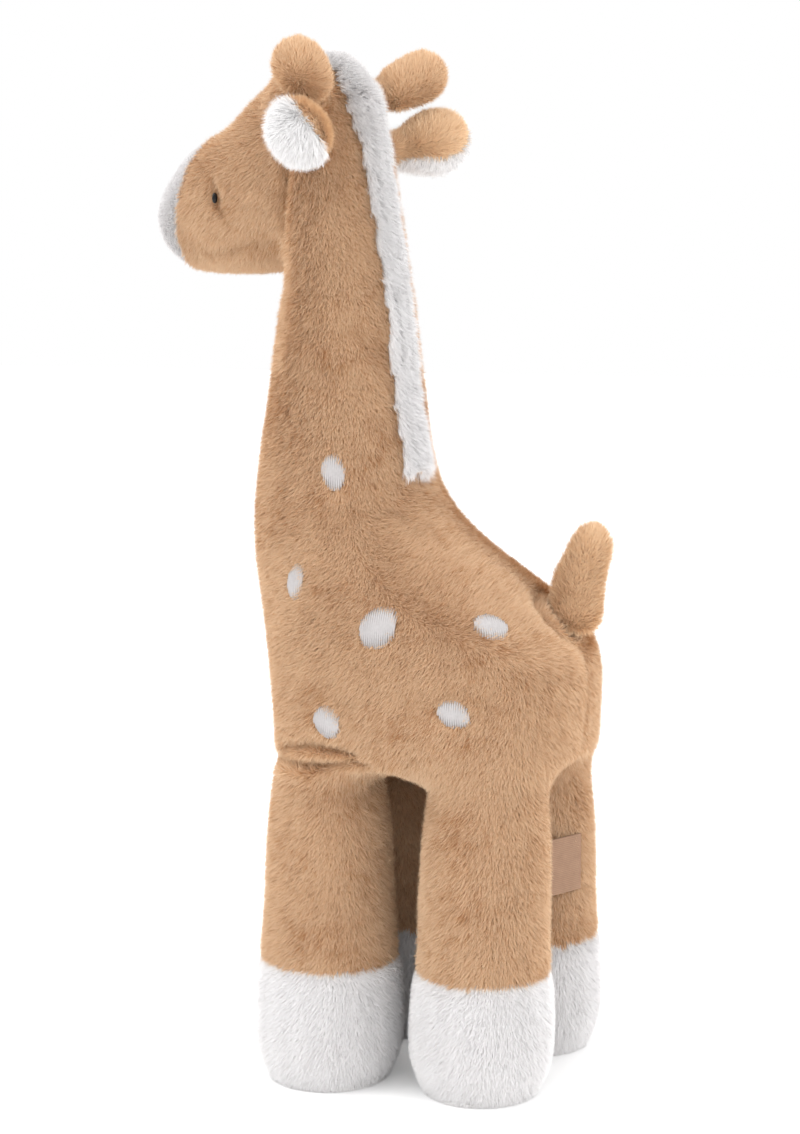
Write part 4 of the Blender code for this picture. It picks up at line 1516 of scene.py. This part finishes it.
@dataclass
class Appendage:
    """An ear or the tail: a small stuffed form that moves on its own."""

    body: str
    tan_nodes: tuple[str, ...]
    white_nodes: tuple[str, ...]
    finishes: Finishes
    coat: Coat
    lie: Vector
    voxel: float = 0.0013
    room: float = 0.0020
    puff: float = 0.0
    lining_lie: tuple[float, float, float] = (0.0, -0.5, -1.0)
    lining_share: float = 0.86
    ear_back: tuple[float, float, float] = (-0.54, 0.64, 0.54)
    wall: float = 0.0008
    rounds: int = 6
    # Painted light: how much paler the pile is made all over; the ear's dish is made fully paler
    pale: float = 0.55
    rim_trim: float = 0.55
    puff_reach: float = 0.012
    puff_edge: Ramp = (-0.0002, 0.0016)
    puff_rounds: tuple[int, int] = (220, 6)
    dish_edge: float = 0.001
    presses: tuple[Press, ...] = ()
    pile: Pile = Pile(0.0036, 0.00036, 8.5, lift=0.9, clump=0.6, tuft=0.0032, stray=0.4, seed=4)
    lining: Pile = Pile(0.0052, 0.00036, 10.0, lift=1.1, clump=0.6, tuft=0.004, stray=0.45, seed=5)

    def _lined(self, points: np.ndarray) -> np.ndarray:
        """Tells which points lie on the white lining.

        Args:
            points: rows of points.

        Returns:
            One truth value for each point.
        """
        if not self.white_nodes:
            return np.zeros(len(points), bool)
        across, along, up = self.ear_back
        side = 1.0 if points[:, 0].mean() > 0.0 else -1.0
        backward = Matrix.Rotation(HEAD_TURN, 3, "Z") @ Vector((across * side, along, up))
        behind = points @ np.array(backward)
        near = distances(points, self.white_nodes) < distances(points, self.tan_nodes)
        low, high = behind[near].min(), behind[near].max()
        return near & (behind < low + self.lining_share * (high - low))

    def build(self) -> None:
        """Makes its cloth and pile."""
        skin = Skin(self.tan_nodes + self.white_nodes, self.voxel, self.room, self.rounds).build()
        mesh = skin.data
        for press in self.presses:
            press.push(mesh)
        points = read_points(mesh)
        if self.puff:
            inner = distances(points, self.tan_nodes, self.puff_reach)
            inner -= distances(points, self.white_nodes, self.puff_reach)
            crown = ramp(inner, self.puff_edge)
            ease(mesh, crown, self.puff_rounds[0])
            swell(mesh, self.puff * crown)
            ease(mesh, crown, self.puff_rounds[1])
        dish = np.zeros(len(points))
        if self.white_nodes:
            inner = distances(points, self.tan_nodes) - distances(points, self.white_nodes)
            dish = smoothstep(inner / self.dish_edge)
        # Painted light: a shade below 0 makes the pile paler, fully so in the ear's dish
        write_attribute(mesh, "shade", -(self.pale + (1.0 - self.pale) * dish))
        write_attribute(mesh, "thick", np.ones(len(points)))
        lined = self._lined(read_points(mesh))
        write_attribute(mesh, "long", 1.0 - self.rim_trim * dish * ~lined)
        lie = np.tile(self.lie, (len(points), 1))
        lie[lined] = self.lining_lie
        comb_towards(mesh, lie)
        white = self._lined(centres(mesh))
        cloth = shell(skin, f"{self.body}_cloth", self.wall)
        cloths = [self.finishes.tan_cloth, self.finishes.white_cloth]
        upholster(cloth, cloths, self._lined(centres(cloth.data)))
        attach(cloth, self.body)
        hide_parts(*self.tan_nodes, *self.white_nodes)
        for keep, pile, finish, slot, word in (
            (~white, self.pile, self.finishes.tan_pile, "tan_plush", "back"),
            (white, self.lining, self.finishes.white_pile, "white_plush", "lining"),
        ):
            if not keep.any():
                continue
            name = f"{self.body}_{word}_pile"
            area = faces_part(skin, keep, "area")
            for piece in self.coat.grow(name, area, pile, finish):
                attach(piece, self.body)
            discard(area)
        discard(skin)


class StitchTree(GeometryTree):
    """Turns lines into thread."""

    def __init__(self) -> None:
        """Builds the tree."""
        super().__init__("Stitch", (("Radius", "Float"), ("Finish", "Material")))
        lines = self.node("GeometryNodeMeshToCurve", {}, {0: self.given["Geometry"]})
        values = {"Resolution": 6, "Radius": self.given["Radius"]}
        ring = self.node("GeometryNodeCurvePrimitiveCircle", {}, values)
        values = {"Curve": lines, "Profile Curve": ring, "Fill Caps": True}
        tube = self.node("GeometryNodeCurveToMesh", {}, values)
        self.end(self.node("GeometryNodeRealizeInstances", {}, {"Geometry": tube}))


@dataclass
class Spot:
    """One embroidered spot: satin threads side by side, each from rim to rim."""

    node: str
    tilt: float
    slim: float
    point: float
    pitch: float = 0.00042
    radius: float = 0.00036
    sink: float = 0.0021
    steps: int = 8
    zigzag: float = 0.00024
    corners: int = 49
    near: float = 0.008
    above: float = 0.02
    crown: float = 0.0011
    rim_fade: float = 0.0006

    def __post_init__(self) -> None:
        """Measures the CAD node that it stands for."""
        points = read_points(NODES[self.node].data)
        self.centre = (points.min(axis=0) + points.max(axis=0)) / 2.0
        spread = np.cov((points - self.centre).T)
        normal = np.linalg.eigh(spread)[1][:, 0]
        self.normal = normal * np.sign(normal[0] * self.centre[0])
        up = np.array((0.0, 0.0, 1.0)) - self.normal[2] * self.normal
        self.up = up / np.linalg.norm(up)
        self.across = np.cross(self.up, self.normal)
        flat = (points - self.centre) @ np.stack((self.across, self.up)).T
        half = (flat.max(axis=0) - flat.min(axis=0)) / 2.0
        self.rim = self._outline(half[0], half[1])
        self.tree = nearest_tree([self.node])

    def _outline(self, half_width: float, half_height: float) -> np.ndarray:
        """Draws the leaf or oval that fills the node's box.

        Args:
            half_width: half of the box's width.
            half_height: half of its height.

        Returns:
            The rim's points, anticlockwise and closed.
        """
        tilt = math.radians(self.tilt) * (1.0 if self.normal[0] > 0.0 else -1.0)
        turn = np.linspace(0.0, 2.0 * math.pi, self.corners)
        wide = np.cos(turn) * np.abs(np.cos(turn)) ** self.point
        shape = np.stack((wide, np.sin(turn)), axis=1) * (self.slim, 1.0)
        spin = np.array(((math.cos(tilt), math.sin(tilt)), (-math.sin(tilt), math.cos(tilt))))
        turned = shape @ spin
        return turned / np.abs(turned).max(axis=0) * (half_width, half_height)

    def cover(self, points: np.ndarray) -> np.ndarray:
        """How far points lie under the spot.

        Args:
            points: rows of points.

        Returns:
            1 well inside the rim, 0 outside.
        """
        away = points - self.centre
        near = np.abs(away @ self.normal) < self.near
        flat = away @ np.stack((self.across, self.up)).T
        least = np.full(len(points), np.inf)
        for start, end in zip(self.rim, self.rim[1:]):
            run = end - start
            side = run[0] * (flat[:, 1] - start[1]) - run[1] * (flat[:, 0] - start[0])
            least = np.minimum(least, side / np.hypot(*run))
        return smoothstep(least / self.rim_fade) * near

    def _lines(self) -> tuple[list[Vector], list[tuple[int, int]]]:
        """Lays the threads over the spot.

        Returns:
            Their points and edges.
        """
        points: list[Vector] = []
        edges: list[tuple[int, int]] = []
        low, high = self.rim[:, 0].min(), self.rim[:, 0].max()
        count = int((high - low) / self.pitch)
        for number in range(1, count):
            across = low + number * self.pitch
            ends = self._crossings(across)
            if len(ends) < 2 or max(ends) - min(ends) < 2.0 * self.pitch:
                continue
            sway = self.zigzag * (1 if number % 2 else -1)
            first = len(points)
            for step in range(self.steps + 1):
                share = step / self.steps
                height = min(ends) + share * (max(ends) - min(ends))
                lift = 1.0 - (2.0 * share - 1.0) ** 4
                points.append(self._on_cloth(across + sway * (2.0 * share - 1.0), height, lift))
            edges += [(first + step, first + step + 1) for step in range(self.steps)]
        return points, edges

    def _crossings(self, across: float) -> list[float]:
        """Heights at which the rim crosses one column."""
        found = []
        for start, end in zip(self.rim, self.rim[1:]):
            if (start[0] - across) * (end[0] - across) < 0.0:
                share = (across - start[0]) / (end[0] - start[0])
                found.append(float(start[1] + share * (end[1] - start[1])))
        return found

    def _on_cloth(self, across: float, height: float, lift: float) -> Vector:
        """A thread's point on the sunk face of the spot.

        Args:
            across: place across the spot.
            height: place up the spot.
            lift: share of the thread's crown, 0 at its ends.

        Returns:
            The point.
        """
        flat = self.centre + across * self.across + height * self.up
        origin = Vector(flat + self.above * self.normal)
        hit = self.tree.ray_cast(origin, -Vector(self.normal))[0]
        face = Vector(flat) if hit is None else hit
        return face - Vector(self.normal) * (self.sink + self.crown * (1.0 - lift))

    def build(self, tree: StitchTree, finish: bpy.types.Material) -> None:
        """Makes the threads.

        Args:
            tree: turns lines into thread.
            finish: the thread's material.
        """
        points, edges = self._lines()
        mesh = bpy.data.meshes.new(self.node)
        mesh.from_pydata(points, edges, [])
        made = place_in_scene(f"{self.node}_stitches", mesh)
        tree.turn_into(made, {"Radius": self.radius, "Finish": finish})
        made.data.shade_smooth()
        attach(made, "body")
        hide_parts(self.node)


@dataclass
class Bead:
    """One eye: a small black bead sewn deep into the pile, so that only a slit of it shows."""

    node: str
    finish: bpy.types.Material
    half_width: float = 0.0011
    half_height: float = 0.0021
    sink: float = 0.0004
    near: float = 0.006
    slit: tuple[float, float] = (0.9, 1.1)
    slit_edge: float = 1.6

    def __post_init__(self) -> None:
        """Finds its place."""
        low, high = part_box(self.node)
        self.centre = (low + high) / 2.0
        side = 1.0 if self.node.endswith("left") else -1.0
        self.outward = Matrix.Rotation(HEAD_TURN, 3, "Z") @ Vector((side, 0.0, 0.0))

    def cover(self, points: np.ndarray) -> np.ndarray:
        """How far points lie in the bead's slit, 0 to 1."""
        away = points - np.array(self.centre)
        outward = np.array(self.outward)
        flat = away - (away @ outward)[:, None] * outward
        across = np.linalg.norm(flat[:, :2], axis=1) / (self.half_width * self.slit[0])
        up = flat[:, 2] / (self.half_height * self.slit[1])
        near = np.linalg.norm(away, axis=1) < self.near
        return smoothstep(self.slit_edge - across**2 - up**2) * near

    def build(self) -> None:
        """Makes the bead."""
        work = bmesh.new()
        stretch = Matrix.Diagonal((self.half_width, self.half_width, self.half_height, 1.0))
        place = Matrix.Translation(self.centre - self.outward * self.sink) @ stretch
        bmesh.ops.create_uvsphere(work, u_segments=24, v_segments=16, radius=1.0, matrix=place)
        mesh = bpy.data.meshes.new(self.node)
        work.to_mesh(mesh)
        work.free()
        made = place_in_scene(f"{self.node}_bead", mesh)
        mesh.shade_smooth()
        upholster(made, [self.finish])
        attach(made, "head")
        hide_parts(self.node)


@dataclass
class Tag:
    """The bare label in a seam of the right rear leg."""

    finish: bpy.types.Material

    def build(self) -> None:
        """Dresses the CAD node."""
        label = NODES["label"]
        upholster(label, [self.finish])


AIM = Vector((0.0, 0.02, 0.2))
KEY_PLACE = Vector((0.66, -0.83, 1.35))
FILL_PLACE = Vector((0.25, 1.25, 0.65))


@dataclass
class Studio:
    """Camera, light and white floor."""

    azimuth: float = 112.0
    distance: float = 0.874
    height: float = 0.304
    pitch: float = 7.2
    slide: float = 0.012
    forward: float = 0.0264
    sensor: float = 36.0
    focal: float = 2300.0 / 1134.0 * sensor
    sky: float = 1.20
    key: float = 8.8
    fill: float = 6.0
    floor: float = 0.2
    floor_drop: float = 0.0006
    floor_half: float = 6.0
    lamp_side: float = 0.9

    def build(self) -> None:
        """Sets up the camera, the light and the floor."""
        self._camera()
        self._light()
        self._floor()
        bpy.context.scene.view_settings.view_transform = "Standard"

    def _camera(self) -> None:
        """Places the camera where the picture was taken from."""
        turn = math.radians(self.azimuth)
        tilt = math.radians(self.pitch)
        back = Vector((math.sin(turn), -math.cos(turn), 0.0))
        right = Vector((math.cos(turn), math.sin(turn), 0.0))
        look = -back * math.cos(tilt) - UP * math.sin(tilt)
        data = bpy.data.cameras.new("Camera")
        data.sensor_width = self.sensor
        data.lens = self.focal
        camera = place_in_scene("Camera", data)
        eye = back * self.distance - right * self.slide + Vector((0.0, self.forward, self.height))
        turned = Matrix((right, right.cross(look), -look)).transposed().to_4x4()
        camera.matrix_world = Matrix.Translation(eye) @ turned
        bpy.context.scene.camera = camera

    def _lamp(self, name: str, place: Vector, watts: float) -> None:
        """Adds a square lamp that faces the toy.

        Args:
            name: its name.
            place: where it is.
            watts: its power.
        """
        data = bpy.data.lights.new(name, "AREA")
        data.size = self.lamp_side
        data.energy = watts
        lamp = place_in_scene(name, data)
        aim = AIM - place
        facing = aim.to_track_quat("-Z", "Y").to_matrix().to_4x4()
        lamp.matrix_world = Matrix.Translation(place) @ facing

    def _light(self) -> None:
        """Lights the toy from all round, a little more from above and before."""
        world = bpy.data.worlds.new("World")
        bpy.context.scene.world = world
        world.use_nodes = True
        world.node_tree.nodes.clear()
        graph = Graph(world.node_tree)
        rays = graph.node("ShaderNodeLightPath", {}, {}, "Is Camera Ray")
        glossy = Value(graph, rays.socket.node.outputs["Is Glossy Ray"])
        through = Value(graph, rays.socket.node.outputs["Is Transmission Ray"])
        seen = (rays + glossy + through).clamped()
        strength = seen + (1.0 - seen) * self.sky
        sky = graph.node("ShaderNodeBackground", {}, {"Color": WHITE, "Strength": strength})
        out = world.node_tree.nodes.new("ShaderNodeOutputWorld")
        world.node_tree.links.new(sky.socket, out.inputs["Surface"])
        self._lamp("Key", KEY_PLACE, self.key)
        self._lamp("Fill", FILL_PLACE, self.fill)

    def _floor(self) -> None:
        """Lays a white floor that keeps the toy's shadow."""
        work = bmesh.new()
        bmesh.ops.create_grid(work, x_segments=1, y_segments=1, size=self.floor_half)
        mesh = bpy.data.meshes.new("Floor")
        work.to_mesh(mesh)
        work.free()
        floor = place_in_scene("Floor", mesh)
        floor.location.z = -self.floor_drop
        shader = Shader("Floor")
        rays = shader.node("ShaderNodeLightPath", {}, {}, "Is Camera Ray")
        values = {"Base Color": rgb(250, 250, 250), "Roughness": 1.0, "Specular IOR Level": 0.0,
                  "Emission Color": WHITE, "Emission Strength": rays * self.floor}
        upholster(floor, [shader.surface(values)])


def ear(side: str, finishes: Finishes, coat: Coat) -> Appendage:
    """The ear of one side."""
    sign = 1.0 if side == "left" else -1.0
    lie = Vector((sign, 0.3, 0.25))
    nodes = ((f"ear_{side}_back",), (f"ear_{side}_lining",))
    return Appendage(f"ear_{side}", *nodes, finishes, coat, lie, puff=0.0016)


def main() -> None:
    """Builds every piece in order."""
    logging.basicConfig(level=logging.INFO, format="%(message)s")
    finishes = Finishes()
    coat = Coat()
    spots = [
        Spot(f"spot_{side}_{number}", *shape)
        for side in SIDES
        for number, shape in enumerate(SPOT_SHAPES, 1)
    ]
    beads = [Bead(f"eye_{side}", finishes.bead) for side in SIDES]
    Suit(finishes, coat, CREASES, spots, beads, PRESSES).build()
    for side in SIDES:
        ear(side, finishes, coat).build()
    nodes = ("tail_cover", "tail_filling")
    upwards = Vector((0.0, 0.3, 1.0))
    Appendage("tail", nodes, (), finishes, coat, upwards, room=0.0022, presses=TAIL_PRESSES).build()
    stitch = StitchTree()
    for spot in spots:
        spot.build(stitch, finishes.thread)
        LOG.info("%s", spot.node)
    for bead in beads:
        bead.build()
    Tag(finishes.label).build()
    discard(coat.strand)
    Studio().build()


if __name__ == "__main__":
    main()
